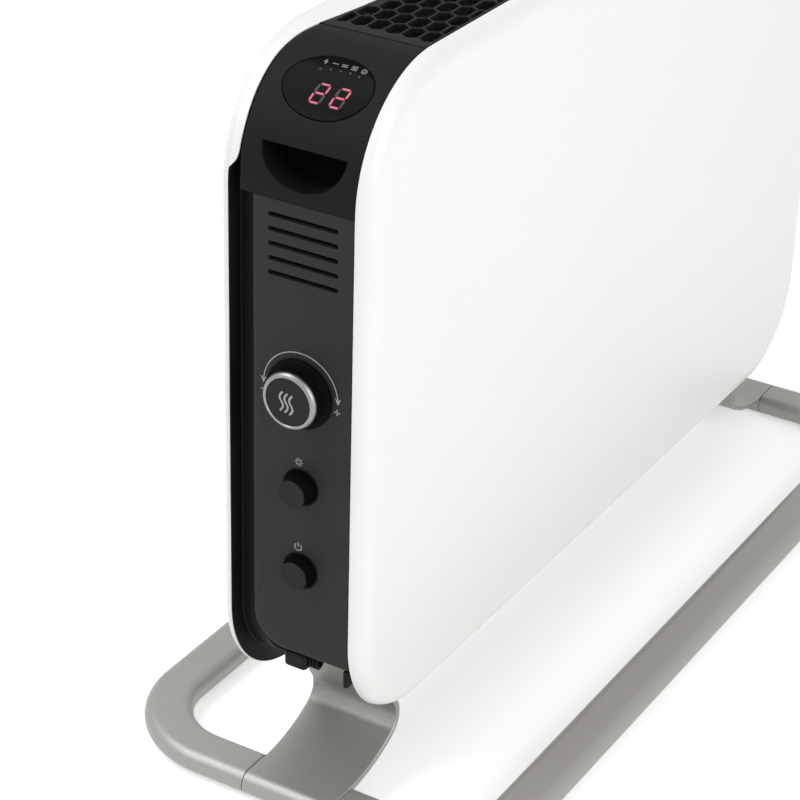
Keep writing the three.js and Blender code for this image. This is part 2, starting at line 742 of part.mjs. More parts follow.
function knobInsert() {
  const radius = KNOB_RADIUS - KNOB_RING_WIDTH - FIT;
  const low = KNOB_HEIGHT - KNOB_INSERT_DEPTH;
  const profile = [
    [0, low],
    [radius, low],
    [radius, KNOB_HEIGHT - FIT],
    [0, KNOB_HEIGHT - FIT],
  ];
  return turnedOutward(profile, KNOB_BASE_X, KNOB_Y, KNOB_Z);
}

// A square block behind the panel, centred on a control at (y, z).
function controlBlock(size, start, end, y, z) {
  const h = size / 2;
  return box(start, end, y - h, y + h, z - h, z + h);
}

function rotaryEncoder() {
  const start = FACE_INNER_X + FIT;
  const shaftEnd = KNOB_BASE_X + SHAFT_LENGTH;
  const body = controlBlock(ENCODER_SIZE, start, start + ENCODER_DEPTH, KNOB_Y, KNOB_Z);
  return body.subtract(rodX(SHAFT_RADIUS + FIT, start - 1, shaftEnd + FIT, KNOB_Y, KNOB_Z));
}

// A push button whose face stands out of the panel by out.
function pushButton(z, out) {
  const profile = [
    [0, -BUTTON_ROOT - BUTTON_STEM],
    [SHAFT_RADIUS, -BUTTON_ROOT - BUTTON_STEM],
    [SHAFT_RADIUS, -BUTTON_ROOT],
    [BUTTON_BASE_RADIUS, -BUTTON_ROOT],
    [BUTTON_BASE_RADIUS, BUTTON_TRAVEL],
    [BUTTON_RADIUS, BUTTON_OUT - BUTTON_EDGE],
    [BUTTON_RADIUS - BUTTON_EDGE, BUTTON_OUT],
    [0, BUTTON_OUT],
  ];
  return turnedOutward(profile, FACE_X + BUTTON_OUT - out, CONTROL_Y, z, ROUND_STEPS);
}

// A latching switch with a well for the button's stem and room for its stroke.
function pushSwitch(z) {
  const start = FACE_X + BUTTON_ROOT + BUTTON_TRAVEL + FIT;
  const stemEnd = FACE_X + BUTTON_ROOT + BUTTON_STEM + BUTTON_TRAVEL;
  const body = controlBlock(SWITCH_SIZE, start, start + SWITCH_DEPTH, CONTROL_Y, z);
  return body.subtract(rodX(SHAFT_RADIUS + FIT, start - 1, stemEnd + FIT, CONTROL_Y, z));
}

// ---------- outlet grille ----------

const CELL_TIP = (CELL_PITCH_Y / 2) * Math.tan(Math.PI / 6);
const GRILLE_HALF = END - CAP_REACH;

// One hexagonal gap, long along X, clipped to the grille's border.
function hexGap(x, y, yLow, yHigh) {
  const halfWidth = (CELL_PITCH_Y - RIB_WIDTH) / 2;
  const slant = Math.tan(Math.PI / 6);
  const flat = (CELL_PITCH_X - CELL_TIP - RIB_WIDTH * slant) / 2;
  const tip = flat + halfWidth * slant;
  const reachAt = (v) => tip - (tip - flat) * (Math.abs(v - y) / halfWidth);
  const low = Math.max(y - halfWidth, yLow);
  const high = Math.min(y + halfWidth, yHigh);
  const levels = [low, ...(low < y && high > y ? [y] : []), high];
  const right = levels.map((v) => new THREE.Vector2(x + reachAt(v), v));
  const left = levels.map((v) => new THREE.Vector2(x - reachAt(v), v)).reverse();
  return prismZ(new THREE.Shape([...right, ...left]), BODY_TOP - GRILLE_DEPTH - 1, BODY_TOP + 1);
}

function topGrille() {
  const yLow = PANEL_FRONT + GRILLE_BORDER;
  const low = BODY_TOP - GRILLE_DEPTH;
  let plate = box(-GRILLE_HALF, GRILLE_HALF, PANEL_FRONT, FOLD_FRONT, low, BODY_TOP);
  plate = plate.intersect(beforeFold(FIT));
  const room = GRILLE_HALF - GRILLE_BORDER - CELL_PITCH_X / 2 - CELL_TIP;
  const side = Math.floor(room / CELL_PITCH_X);
  for (let column = -side; column <= side; column++) {
    const offset = Math.abs(column) % 2 ? 0.5 : 0;
    const inner = (Math.abs(column) - 0.5) * CELL_PITCH_X;
    const yHigh = foldFrontAt(inner) - FIT - GRILLE_BORDER;
    for (let row = 0; PANEL_FRONT + (row + offset) * CELL_PITCH_Y < yHigh; row++) {
      const y = PANEL_FRONT + (row + offset) * CELL_PITCH_Y;
      const half = (CELL_PITCH_Y - RIB_WIDTH) / 2;
      const open = Math.min(y + half, yHigh) - Math.max(y - half, yLow);
      if (open > HALF_CELL_LEAST) plate = plate.subtract(hexGap(column * CELL_PITCH_X, y, yLow, yHigh));
    }
  }
  return plate;
}

// ---------- base plate and inside ----------

function footScrewPlaces() {
  return [-1, 1].flatMap((side) =>
    [-1, 1].map((s) => ({ side, x: side * (footTabX() - FOOT_TAB / 2), y: (s * SCREW_SPACING) / 2 })),
  );
}

function basePlate() {
  const half = -HOUSING_INNER_X - FIT;
  const y0 = CORE_FRONT + FIT;
  const y1 = CORE_BACK - SHELL_LIP - 2 * FIT - WEB_SHEET;
  let made = box(-half, half, y0, y1, BASE_BOTTOM, BASE_TOP);
  const count = Math.floor((half - INTAKE_MARGIN_X) / INTAKE_PITCH);
  for (let i = -count; i <= count; i++) {
    const x = i * INTAKE_PITCH;
    const w = INTAKE_WIDTH / 2;
    const y = [y0 + INTAKE_MARGIN_Y, y1 - INTAKE_MARGIN_Y];
    made = made.subtract(box(x - w, x + w, y[0], y[1], BASE_BOTTOM - 1, BASE_TOP + 1));
  }
  footScrewPlaces().forEach(({ x, y }) => {
    made = made.subtract(rodZ(SCREW_RADIUS + SCREW_CLEARANCE, BASE_BOTTOM - 1, BASE_TOP + 1, x, y));
  });
  return made;
}

const ELEMENT_Z = Array.from(
  { length: ELEMENT_COUNT },
  (_, i) => BASE_TOP + ELEMENT_FIRST + i * ELEMENT_SPACING,
);
const ELEMENT_Y = CORE_SHIFT;
const INNER_FRONT = CORE_FRONT - FRONT_CROWN + SHELL_SHEET + FIT;
const INNER_BACK = CORE_BACK + BACK_CROWN - SHELL_SHEET - FIT;

// A steel wall across the body, which carries one end of each element.
function partition(side) {
  const wall = box(
    PARTITION_X,
    PARTITION_X + PARTITION_SHEET,
    INNER_FRONT,
    INNER_BACK,
    BASE_TOP + FIT,
    PARTITION_TOP,
  );
  const holes = ELEMENT_Z.map((z) =>
    rodX(BUSH_RADIUS + FIT, PARTITION_X - 1, PARTITION_X + PARTITION_SHEET + 1, ELEMENT_Y, z),
  );
  const made = holes.reduce((all, hole) => all.subtract(hole), wall);
  return mirroredX(made, side > 0 ? -1 : 1);
}

function elementBush(side, z) {
  const middle = PARTITION_X + PARTITION_SHEET / 2;
  const bush = rodX(BUSH_RADIUS, middle - BUSH_LENGTH / 2, middle + BUSH_LENGTH / 2, ELEMENT_Y, z);
  const bore = rodX(PIN_RADIUS + FIT, middle - BUSH_LENGTH, middle + BUSH_LENGTH, ELEMENT_Y, z);
  return mirroredX(bush.subtract(bore), side > 0 ? -1 : 1);
}

// A cast heating element: a round core with four wings, and a terminal pin at each end.
function heatingElement(z) {
  const half = PARTITION_X - ELEMENT_END_GAP;
  const wings = [-1, 1].map((s) => {
    const wing = new THREE.BoxGeometry(2 * half, ELEMENT_RIB, 2 * ELEMENT_WING);
    return solid(wing.rotateX((s * Math.PI) / 4).translate(0, ELEMENT_Y, z));
  });
  const core = rodX(ELEMENT_HUB, -half, half, ELEMENT_Y, z);
  const pinEnd = PARTITION_X + PARTITION_SHEET / 2 + BUSH_LENGTH;
  const pins = rodX(PIN_RADIUS, -pinEnd, pinEnd, ELEMENT_Y, z);
  return core.add(wings[0]).add(wings[1]).add(pins);
}

// A thin sheet that keeps the element's heat off a shell; side is -1 front, 1 back.
function heatShield(side) {
  const half = PARTITION_X - FIT;
  const y = side < 0 ? INNER_FRONT + SHIELD_INSET : INNER_BACK - SHIELD_INSET;
  return box(-half, half, y - SHIELD_SHEET / 2, y + SHIELD_SHEET / 2, BASE_TOP + FIT, PARTITION_TOP);
}

const BOARD_X = -PARTITION_X - PARTITION_SHEET - FIT; // face of the partition towards the controls
const BOARD_Z = CONTROL_MIDDLE;

function powerBoard() {
  const face = BOARD_X - POWER_BOARD_STANDOFF;
  const halfY = POWER_BOARD_WIDTH / 2;
  const halfZ = POWER_BOARD_HEIGHT / 2;
  let board = box(
    face - BOARD_SHEET,
    face,
    CORE_SHIFT - halfY,
    CORE_SHIFT + halfY,
    BOARD_Z - halfZ,
    BOARD_Z + halfZ,
  );
  for (const sy of [-1, 1]) {
    for (const sz of [-1, 1]) {
      const y = CORE_SHIFT + sy * (halfY - BOSS_RADIUS);
      const z = BOARD_Z + sz * (halfZ - BOSS_RADIUS);
      board = board.add(rodX(BOSS_RADIUS, face - BOARD_SHEET / 2, BOARD_X, y, z));
    }
  }
  return board;
}

// A block on the power board's free face, at y and z from the board's middle.
function onPowerBoard(width, height, depth, y, z) {
  const face = BOARD_X - POWER_BOARD_STANDOFF - BOARD_SHEET - FIT;
  const cy = CORE_SHIFT + y;
  const cz = BOARD_Z + z;
  return box(face - depth, face, cy - width / 2, cy + width / 2, cz - height / 2, cz + height / 2);
}

function relay(side) {
  const y = (side * (POWER_BOARD_WIDTH - RELAY_WIDTH)) / 4;
  return onPowerBoard(RELAY_WIDTH, RELAY_HEIGHT, RELAY_DEPTH, y, POWER_BOARD_HEIGHT / 4);
}

const TERMINAL_LOW = BOARD_Z - POWER_BOARD_HEIGHT / 2 + TERMINAL_RISE;

function terminalBlock() {
  const z = TERMINAL_LOW - BOARD_Z + TERMINAL_HEIGHT / 2;
  return onPowerBoard(TERMINAL_WIDTH, TERMINAL_HEIGHT, TERMINAL_DEPTH, 0, z);
}

// The snap-disc cut-out sits on the heater side of the left partition, above the elements.
function thermalCutout() {
  const z = ELEMENT_Z[ELEMENT_COUNT - 1] + ELEMENT_WING + CUTOUT_RADIUS * 2;
  const x = -PARTITION_X + FIT;
  const can = rodX(CUTOUT_RADIUS, x, x + CUTOUT_DEPTH, ELEMENT_Y, z, 2 * SMALL_STEPS);
  const w = CUTOUT_FLANGE_WIDTH / 2;
  const h = CUTOUT_FLANGE_HEIGHT / 2;
  return can.add(box(x, x + CUTOUT_FLANGE_SHEET, ELEMENT_Y - w, ELEMENT_Y + w, z - h, z + h));
}

// The room sensor stands behind the lowest vent slot.
function roomSensor() {
  const z = CORNER_START - SLOT_DROP - (SLOT_COUNT - 1) * SLOT_PITCH - SLOT_HEIGHT - SENSOR_RADIUS;
  const bead = rodX(SENSOR_RADIUS, FACE_INNER_X + FIT, FACE_INNER_X + SENSOR_LENGTH, CONTROL_Y, z);
  const w = SENSOR_FOOT_WIDTH / 2;
  const end = FACE_INNER_X + SENSOR_FOOT_SHEET;
  const y = [CONTROL_Y - w, CONTROL_Y + w];
  return bead.add(box(FACE_INNER_X + FIT, end, ...y, z - SENSOR_RADIUS, z + SENSOR_RADIUS));
}

// The tilt switch stands on the panel's floor and cuts the power when the heater falls over.
function tiltSwitch() {
  const low = BASE_BOTTOM + PANEL_WALL + FIT;
  const x = FACE_INNER_X + FIT;
  const y = PANEL_FRONT + PANEL_WALL + FIT;
  const top = low + TILT_HEIGHT;
  const block = box(x, x + TILT_DEPTH, y, y + TILT_WIDTH, low, top);
  const [cx, cy] = [x + TILT_DEPTH / 2, y + TILT_WIDTH / 2];
  return block.add(rodZ(TILT_CAP_RADIUS, top - 1, top + TILT_CAP_HEIGHT, cx, cy));
}

// A bundle of leads between two blocks, as a tube along a smooth curve.
function loom(points) {
  const curve = new THREE.CatmullRomCurve3(points.map((p) => new THREE.Vector3(...p)));
  const section = new THREE.Shape();
  section.absarc(0, 0, LOOM_RADIUS, 0, 2 * Math.PI, false);
  const options = { steps: LOOM_STEPS, extrudePath: curve, curveSegments: LOOM_ROUND_STEPS };
  return solid(new THREE.ExtrudeGeometry(section, options));
}

// From the terminal block down to the panel's floor over the cable inlet.
function supplyLoom() {
  const x = BOARD_X - POWER_BOARD_STANDOFF - BOARD_SHEET - FIT - TERMINAL_DEPTH / 2;
  const y = CONTROL_Y + SWITCH_SIZE / 2 + 2 * LOOM_RADIUS; // beside the power switch
  const top = TERMINAL_LOW - FIT;
  const floor = BASE_BOTTOM + PANEL_WALL + LOOM_RADIUS / 2;
  const at = (share) => floor + (top - floor) * share;
  return loom([
    [x, CORE_SHIFT, top],
    [x, y, at(2 / 3)],
    [FACE_X + PANEL_DEPTH / 2, y, at(1 / 3)],
    [FACE_X + PANEL_DEPTH / 2, y, floor],
  ]);
}

// From the display's board down to the power board.
function displayLoom() {
  const start = new THREE.Vector3(0, 0, BOARD_OUTER - BOARD_SHEET - FIT);
  const { x, y, z } = start.applyMatrix4(displayFrame);
  const top = BOARD_Z + POWER_BOARD_HEIGHT / 2 + FIT;
  const boardX = BOARD_X - POWER_BOARD_STANDOFF - BOARD_SHEET / 2;
  return loom([
    [x, y, z],
    [x + 3 * LOOM_RADIUS, y, z - 4 * LOOM_RADIUS],
    [boardX, CORE_SHIFT, top + 8 * LOOM_RADIUS],
    [boardX, CORE_SHIFT, top],
  ]);
}

// ---------- under the left end ----------

// The cable inlet: a clamp block with a short ribbed bush that points to the front.
function cableInlet() {
  const top = BASE_BOTTOM - FIT;
  const x = FACE_X + PANEL_INSET;
  const y1 = CONTROL_Y + INLET_BACK;
  const y0 = y1 - INLET_WIDTH;
  const block = box(x, x + INLET_DEPTH, y0, y1, top - INLET_HEIGHT, top);
  const cx = x + INLET_DEPTH / 2;
  const cz = top - INLET_HEIGHT / 2;
  let made = block.add(rodY(INLET_BUSH_CORE, y0 - INLET_BUSH_LENGTH, y0 + 1, cx, cz));
  const pitch = INLET_BUSH_LENGTH / INLET_RIBS;
  for (let i = 1; i <= INLET_RIBS; i++) {
    const y = y0 - i * pitch;
    made = made.add(rodY(INLET_BUSH_RADIUS, y, y + pitch / 2, cx, cz));
  }
  return made;
}

// A clip on the panel's floor that holds the front shell's edge.
function shellClip() {
  const top = BASE_BOTTOM - FIT;
  const x = FACE_X + PANEL_INSET;
  const y = PANEL_FRONT + FIT;
  return box(x, x + CLIP_WIDTH, y, y + CLIP_THICKNESS, top - CLIP_HEIGHT, top);
}

// ---------- stand ----------

// The tube's flat-oval section, drawn with its first direction upright.
function tubeSection() {
  const r = TUBE_HEIGHT / 2;
  const half = TUBE_WIDTH / 2 - r;
  const points = [];
  for (const s of [1, -1]) {
    for (let i = 0; i <= TUBE_ROUND_STEPS; i++) {
      const angle = (i / TUBE_ROUND_STEPS) * Math.PI;
      points.push(new THREE.Vector2(s * r * Math.cos(angle), s * (half + r * Math.sin(angle))));
    }
  }
  return points;
}

// The middle line of one half of the loop: out of one foot, round two bends and into the other.
// It steps once along each straight and BEND_STEPS times round each bend.
class HalfLoop extends THREE.Curve {
  constructor(side) {
    super();
    this.stations = [];
    const start = FOOT_WIDTH / 2 + FIT;
    const bendX = BAR_X - BEND_RADIUS;
    const bendY = RAIL_Y - BEND_RADIUS;
    this.add(-BAR_X, side * start, 0, side);
    for (const end of [-1, 1]) {
      for (let i = 0; i <= BEND_STEPS; i++) {
        const turn = (i / BEND_STEPS) * (Math.PI / 2);
        const angle = end < 0 ? Math.PI - turn : Math.PI / 2 - turn;
        const c = Math.cos(angle);
        const s = Math.sin(angle);
        this.add(end * bendX + BEND_RADIUS * c, side * (bendY + BEND_RADIUS * s), s, -side * c);
      }
    }
    this.add(BAR_X, side * start, 0, -side);
    this.steps = this.stations.length - 1;
  }

  add(x, y, tx, ty) {
    const tangent = new THREE.Vector3(tx, ty, 0);
    this.stations.push({ point: new THREE.Vector3(x, y, TUBE_MIDDLE), tangent });
  }

  getPointAt(u, target = new THREE.Vector3()) {
    return target.copy(this.stations[Math.round(u * this.steps)].point);
  }

  getTangentAt(u, target = new THREE.Vector3()) {
    return target.copy(this.stations[Math.round(u * this.steps)].tangent);
  }
}

function standTube(side) {
  const path = new HalfLoop(side);
  const options = { steps: path.steps, extrudePath: path };
  return solid(new THREE.ExtrudeGeometry(new THREE.Shape(tubeSection()), options));
}

// A path drawn by going forward and turning: headings in degrees, 0 along +X, 90 up.
class BentStrip {
  constructor(x, z) {
    this.at = new THREE.Vector2(x, z);
    this.heading = 0;
    this.middle = [];
    this.mark();
  }

  mark() {
    this.middle.push({ at: this.at.clone(), heading: this.heading });
  }

  forward(length) {
    const angle = THREE.MathUtils.degToRad(this.heading);
    this.at.add(new THREE.Vector2(length * Math.cos(angle), length * Math.sin(angle)));
    this.mark();
  }

  turn(radius, degrees, steps) {
    const side = Math.sign(degrees);
    for (let i = 0; i < steps; i++) {
      const before = THREE.MathUtils.degToRad(this.heading);
      this.heading += degrees / steps;
      const after = THREE.MathUtils.degToRad(this.heading);
      this.at.x += side * radius * (Math.sin(after) - Math.sin(before));
      this.at.y += side * radius * (Math.cos(before) - Math.cos(after));
      this.mark();
    }
  }

  // The strip's outline, half a sheet to each side of its middle line.
  shape(sheet) {
    const side = (s) =>
      this.middle.map(({ at, heading }) => {
        const angle = THREE.MathUtils.degToRad(heading + s * 90);
        const [dx, dy] = [Math.cos(angle), Math.sin(angle)];
        return new THREE.Vector2(at.x + (sheet / 2) * dx, at.y + (sheet / 2) * dy);
      });
    return new THREE.Shape([...side(-1), ...side(1).reverse()]);
  }
}

// The left foot's plate leaves the bar's top, ramps inwards, doubles back and ends in a tab.
function footStrip() {
  const top = TUBE_BOTTOM + TUBE_HEIGHT - FOOT_SHEET / 2;
  const strip = new BentStrip(-BAR_X, top);
  strip.forward(FOOT_LEAD);
  strip.turn(FOOT_RAMP_RADIUS, FOOT_RAMP_ANGLE, 6);
  strip.turn(FOOT_BEND_RADIUS, FOOT_BEND_ANGLE, 8);
  const steep = THREE.MathUtils.degToRad(strip.heading);
  const tabZ = BASE_BOTTOM - FIT - FOOT_SHEET / 2;
  const neckRise = FOOT_NECK_RADIUS * (1 - Math.cos(steep));
  strip.forward((tabZ - neckRise - strip.at.y) / Math.sin(steep));
  strip.turn(FOOT_NECK_RADIUS, -strip.heading, 6);
  strip.forward(FOOT_TAB);
  return strip;
}

// How far from the middle the left foot's tab ends; the screws sit in the middle of the tab.
function footTabX() {
  return -footStrip().at.x + FOOT_TAB;
}

function standFoot(side) {
  const half = FOOT_WIDTH / 2;
  const plate = prismY(footStrip().shape(FOOT_SHEET), -half, half);
  const bar = tubeSection().map((p) => new THREE.Vector2(p.y - BAR_X, p.x + TUBE_MIDDLE));
  let foot = plate.add(prismY(new THREE.Shape(bar), -half, half));
  footScrewPlaces()
    .filter((place) => place.side < 0)
    .forEach(({ x, y }) => {
      const low = BASE_BOTTOM - 2 * FOOT_SHEET;
      foot = foot.subtract(rodZ(SCREW_RADIUS + SCREW_CLEARANCE, low, BASE_BOTTOM, x, y));
    });
  return mirroredX(foot, side);
}

function footScrew({ x, y }) {
  const seat = BASE_BOTTOM - 2 * FIT - FOOT_SHEET;
  const head = rodZ(SCREW_HEAD_RADIUS, seat - SCREW_HEAD_HEIGHT, seat, x, y);
  return head.add(rodZ(SCREW_RADIUS, seat - SCREW_HEAD_HEIGHT / 2, BASE_TOP + SCREW_HEAD_HEIGHT, x, y));
}

function rubberPad(sideX, sideY) {
  const x = sideX * (END - PAD_INSET);
  const pad = stadium(new THREE.Shape(), x, sideY * RAIL_Y, PAD_LENGTH, PAD_WIDTH);
  return prismZ(pad, 0, PAD_THICKNESS, SLOT_ARC_STEPS);
}

// ---------- assembly ----------

const heater = new THREE.Group();
const SIDES = { left: -1, right: 1 };

function place(group, name, made, material) {
  const mesh = new THREE.Mesh(geometryOf(made), material());
  mesh.name = name;
  group.add(mesh);
}

function addShells() {
  const shells = new THREE.Group();
  place(shells, "front_shell", frontShell(), FINISH.whiteEnamel);
  place(shells, "back_shell", backShell(), FINISH.whiteEnamel);
  heater.add(shells);
}

function addEnds() {
  const ends = new THREE.Group();
  place(ends, "left_end_cap", leftEndCap(), FINISH.blackPlastic);
  place(ends, "right_end_cap", endCap(SIDES.right), FINISH.blackPlastic);
  place(ends, "control_panel", controlPanel(), FINISH.blackPlastic);
  place(ends, "right_end_panel", mirroredX(plainPanel(), SIDES.right), FINISH.blackPlastic);
  for (const [name, side] of Object.entries(SIDES)) {
    place(ends, name + "_rear_frame", rearFrame(side), FINISH.darkPlastic);
  }
  place(ends, "top_grille", topGrille(), FINISH.blackPlastic);
  place(ends, "base_plate", basePlate(), FINISH.darkPlastic);
  heater.add(ends);
}

function addControls() {
  const controls = new THREE.Group();
  const knob = new THREE.Group();
  place(knob, "knob_body", knobBody(), FINISH.darkPlastic);
  place(knob, "knob_ring", knobRing(), FINISH.chrome);
  place(knob, "knob_insert", knobInsert(), FINISH.darkPlastic);
  controls.add(knob);
  place(controls, "frost_button", pushButton(FROST_Z, BUTTON_OUT), FINISH.darkPlastic);
  place(controls, "power_button", pushButton(POWER_Z, BUTTON_OUT - BUTTON_TRAVEL), FINISH.darkPlastic);
  place(controls, "rotary_encoder", rotaryEncoder(), FINISH.zincSheet);
  place(controls, "frost_switch", pushSwitch(FROST_Z), FINISH.paleNylon);
  place(controls, "power_switch", pushSwitch(POWER_Z), FINISH.paleNylon);
  place(controls, "display_window", displayWindow(), FINISH.smokedWindow);
  place(controls, "display_module", displayModule(), FINISH.darkPlastic);
  place(controls, "display_board", displayBoard(), FINISH.circuitBoard);
  heater.add(controls);
}

function addInside() {
  const inside = new THREE.Group();
  for (const [name, side] of Object.entries(SIDES)) {
    place(inside, name + "_partition", partition(side), FINISH.zincSheet);
    ELEMENT_Z.forEach((z, i) => {
      place(inside, name + "_element_bush_" + (i + 1), elementBush(side, z), FINISH.ceramic);
    });
  }
  ELEMENT_Z.forEach((z, i) => {
    place(inside, "heating_element_" + (i + 1), heatingElement(z), FINISH.castAluminium);
  });
  place(inside, "front_heat_shield", heatShield(-1), FINISH.zincSheet);
  place(inside, "rear_heat_shield", heatShield(1), FINISH.zincSheet);
  place(inside, "power_board", powerBoard(), FINISH.circuitBoard);
  place(inside, "front_relay", relay(-1), FINISH.darkPlastic);
  place(inside, "rear_relay", relay(1), FINISH.darkPlastic);
  place(inside, "terminal_block", terminalBlock(), FINISH.paleNylon);
  place(inside, "thermal_cutout", thermalCutout(), FINISH.zincSheet);
  place(inside, "room_sensor", roomSensor(), FINISH.darkPlastic);
  place(inside, "tilt_switch", tiltSwitch(), FINISH.paleNylon);
  place(inside, "supply_loom", supplyLoom(), FINISH.blackRubber);
  place(inside, "display_loom", displayLoom(), FINISH.blackRubber);
  place(inside, "cable_inlet", cableInlet(), FINISH.darkPlastic);
  place(inside, "shell_clip", shellClip(), FINISH.darkPlastic);
  heater.add(inside);
}

function addStand() {
  const stand = new THREE.Group();
  place(stand, "front_tube", standTube(-1), FINISH.silverPaint);
  place(stand, "rear_tube", standTube(1), FINISH.silverPaint);
  for (const [name, side] of Object.entries(SIDES)) {
    place(stand, name + "_foot", standFoot(side), FINISH.silverPaint);
    place(stand, name + "_front_pad", rubberPad(side, -1), FINISH.blackRubber);
    place(stand, name + "_rear_pad", rubberPad(side, 1), FINISH.blackRubber);
  }
  footScrewPlaces().forEach((spot) => {
    const end = spot.side < 0 ? "left" : "right";
    const row = spot.y < 0 ? "front" : "rear";
    place(stand, end + "_" + row + "_foot_screw", footScrew(spot), FINISH.zincSheet);
  });
  heater.add(stand);
}

addShells();
addEnds();
addControls();
addInside();
addStand();

export default heater;
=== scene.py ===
"""Looks of a free-standing panel convector heater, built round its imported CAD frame.

Lengths in the classes are millimetres in the heater's own frame: X along the heater from the
control end, Y from the front shell to the back shell, Z up, with the origin on the floor.
"""

import json
import logging
import math
from dataclasses import dataclass, field
from enum import Enum
from typing import Callable, Iterable, Sequence

import bmesh
import bpy
from mathutils import Matrix, Vector
from mathutils.geometry import tessellate_polygon


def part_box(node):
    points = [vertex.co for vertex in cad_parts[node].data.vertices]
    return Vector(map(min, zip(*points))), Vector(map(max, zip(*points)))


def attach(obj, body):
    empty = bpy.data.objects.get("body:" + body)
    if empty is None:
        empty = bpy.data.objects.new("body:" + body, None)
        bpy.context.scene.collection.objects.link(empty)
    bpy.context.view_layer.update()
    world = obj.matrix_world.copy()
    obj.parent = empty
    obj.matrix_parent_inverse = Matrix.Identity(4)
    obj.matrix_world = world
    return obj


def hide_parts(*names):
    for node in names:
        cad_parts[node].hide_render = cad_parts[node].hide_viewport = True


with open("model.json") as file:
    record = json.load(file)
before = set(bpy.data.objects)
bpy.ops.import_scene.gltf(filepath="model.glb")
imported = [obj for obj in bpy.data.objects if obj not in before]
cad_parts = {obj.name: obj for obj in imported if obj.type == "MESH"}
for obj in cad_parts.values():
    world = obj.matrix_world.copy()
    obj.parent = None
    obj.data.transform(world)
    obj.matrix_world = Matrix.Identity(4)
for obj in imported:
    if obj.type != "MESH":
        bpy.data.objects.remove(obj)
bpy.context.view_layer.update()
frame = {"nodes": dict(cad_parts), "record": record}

LOG = logging.getLogger("heater")
MM = 0.001
QUARTER = math.pi / 2

NOISE_ROUGHNESS = 0.55  # how strongly each finer octave of a noise shows
NOISE_LOW, NOISE_HIGH = 0.3, 0.7  # most of a noise's values lie between these
WAVE_RADIANS = 20  # Blender's ring wave runs through this many radians a unit at scale 1
CUT_TOLERANCE = 1e-5  # millimetres
MERGE_DISTANCE = 1e-8  # metres
ON_AXIS = 1e-6  # millimetres

Point = tuple[float, float]
Loop = Callable[[float], list[Point]]
Placer = Callable[[Vector], Vector]
Material = bpy.types.Material
Object = bpy.types.Object
Socket = bpy.types.NodeSocket


class Body(Enum):
    """The rigid bodies of the frame."""

    HEATER = "heater"
    KNOB = "knob"
    FROST = "frost button"
    POWER = "power button"


class Side(Enum):
    """The two ends of the heater."""

    LEFT = -1
    RIGHT = 1

    @property
    def word(self) -> str:
        """The end's name as the frame's nodes use it."""
        return self.name.lower()


# ---------- finishes ----------


def linear(color: str) -> tuple[float, float, float, float]:
    """Turns an sRGB hex value into a linear colour.

    Args:
        color: Six hex digits, with or without a leading hash.

    Returns:
        Red, green, blue and an alpha of 1.
    """
    text = color.lstrip("#")
    channels = (int(text[i : i + 2], 16) / 255 for i in (0, 2, 4))
    return (*(c / 12.92 if c <= 0.04045 else ((c + 0.055) / 1.055) ** 2.4 for c in channels), 1.0)


def add_node(
    tree: bpy.types.NodeTree,
    kind: str,
    settings: dict[str | int, object] | None = None,
    links: dict[str | int, Socket] | None = None,
) -> bpy.types.Node:
    """Adds one node to a tree with its settings and its incoming links.

    Args:
        tree: The node tree.
        kind: The node's type, as Blender names it.
        settings: Input values by socket name or place, and plain properties by name.
        links: Sockets to connect, by the name or place of the input they feed.

    Returns:
        The new node.
    """
    node = tree.nodes.new(kind)
    for key, value in (settings or {}).items():
        if isinstance(key, int) or key in node.inputs:
            node.inputs[key].default_value = value
        else:
            setattr(node, key, value)
    for key, source in (links or {}).items():
        tree.links.new(source, node.inputs[key])
    return node


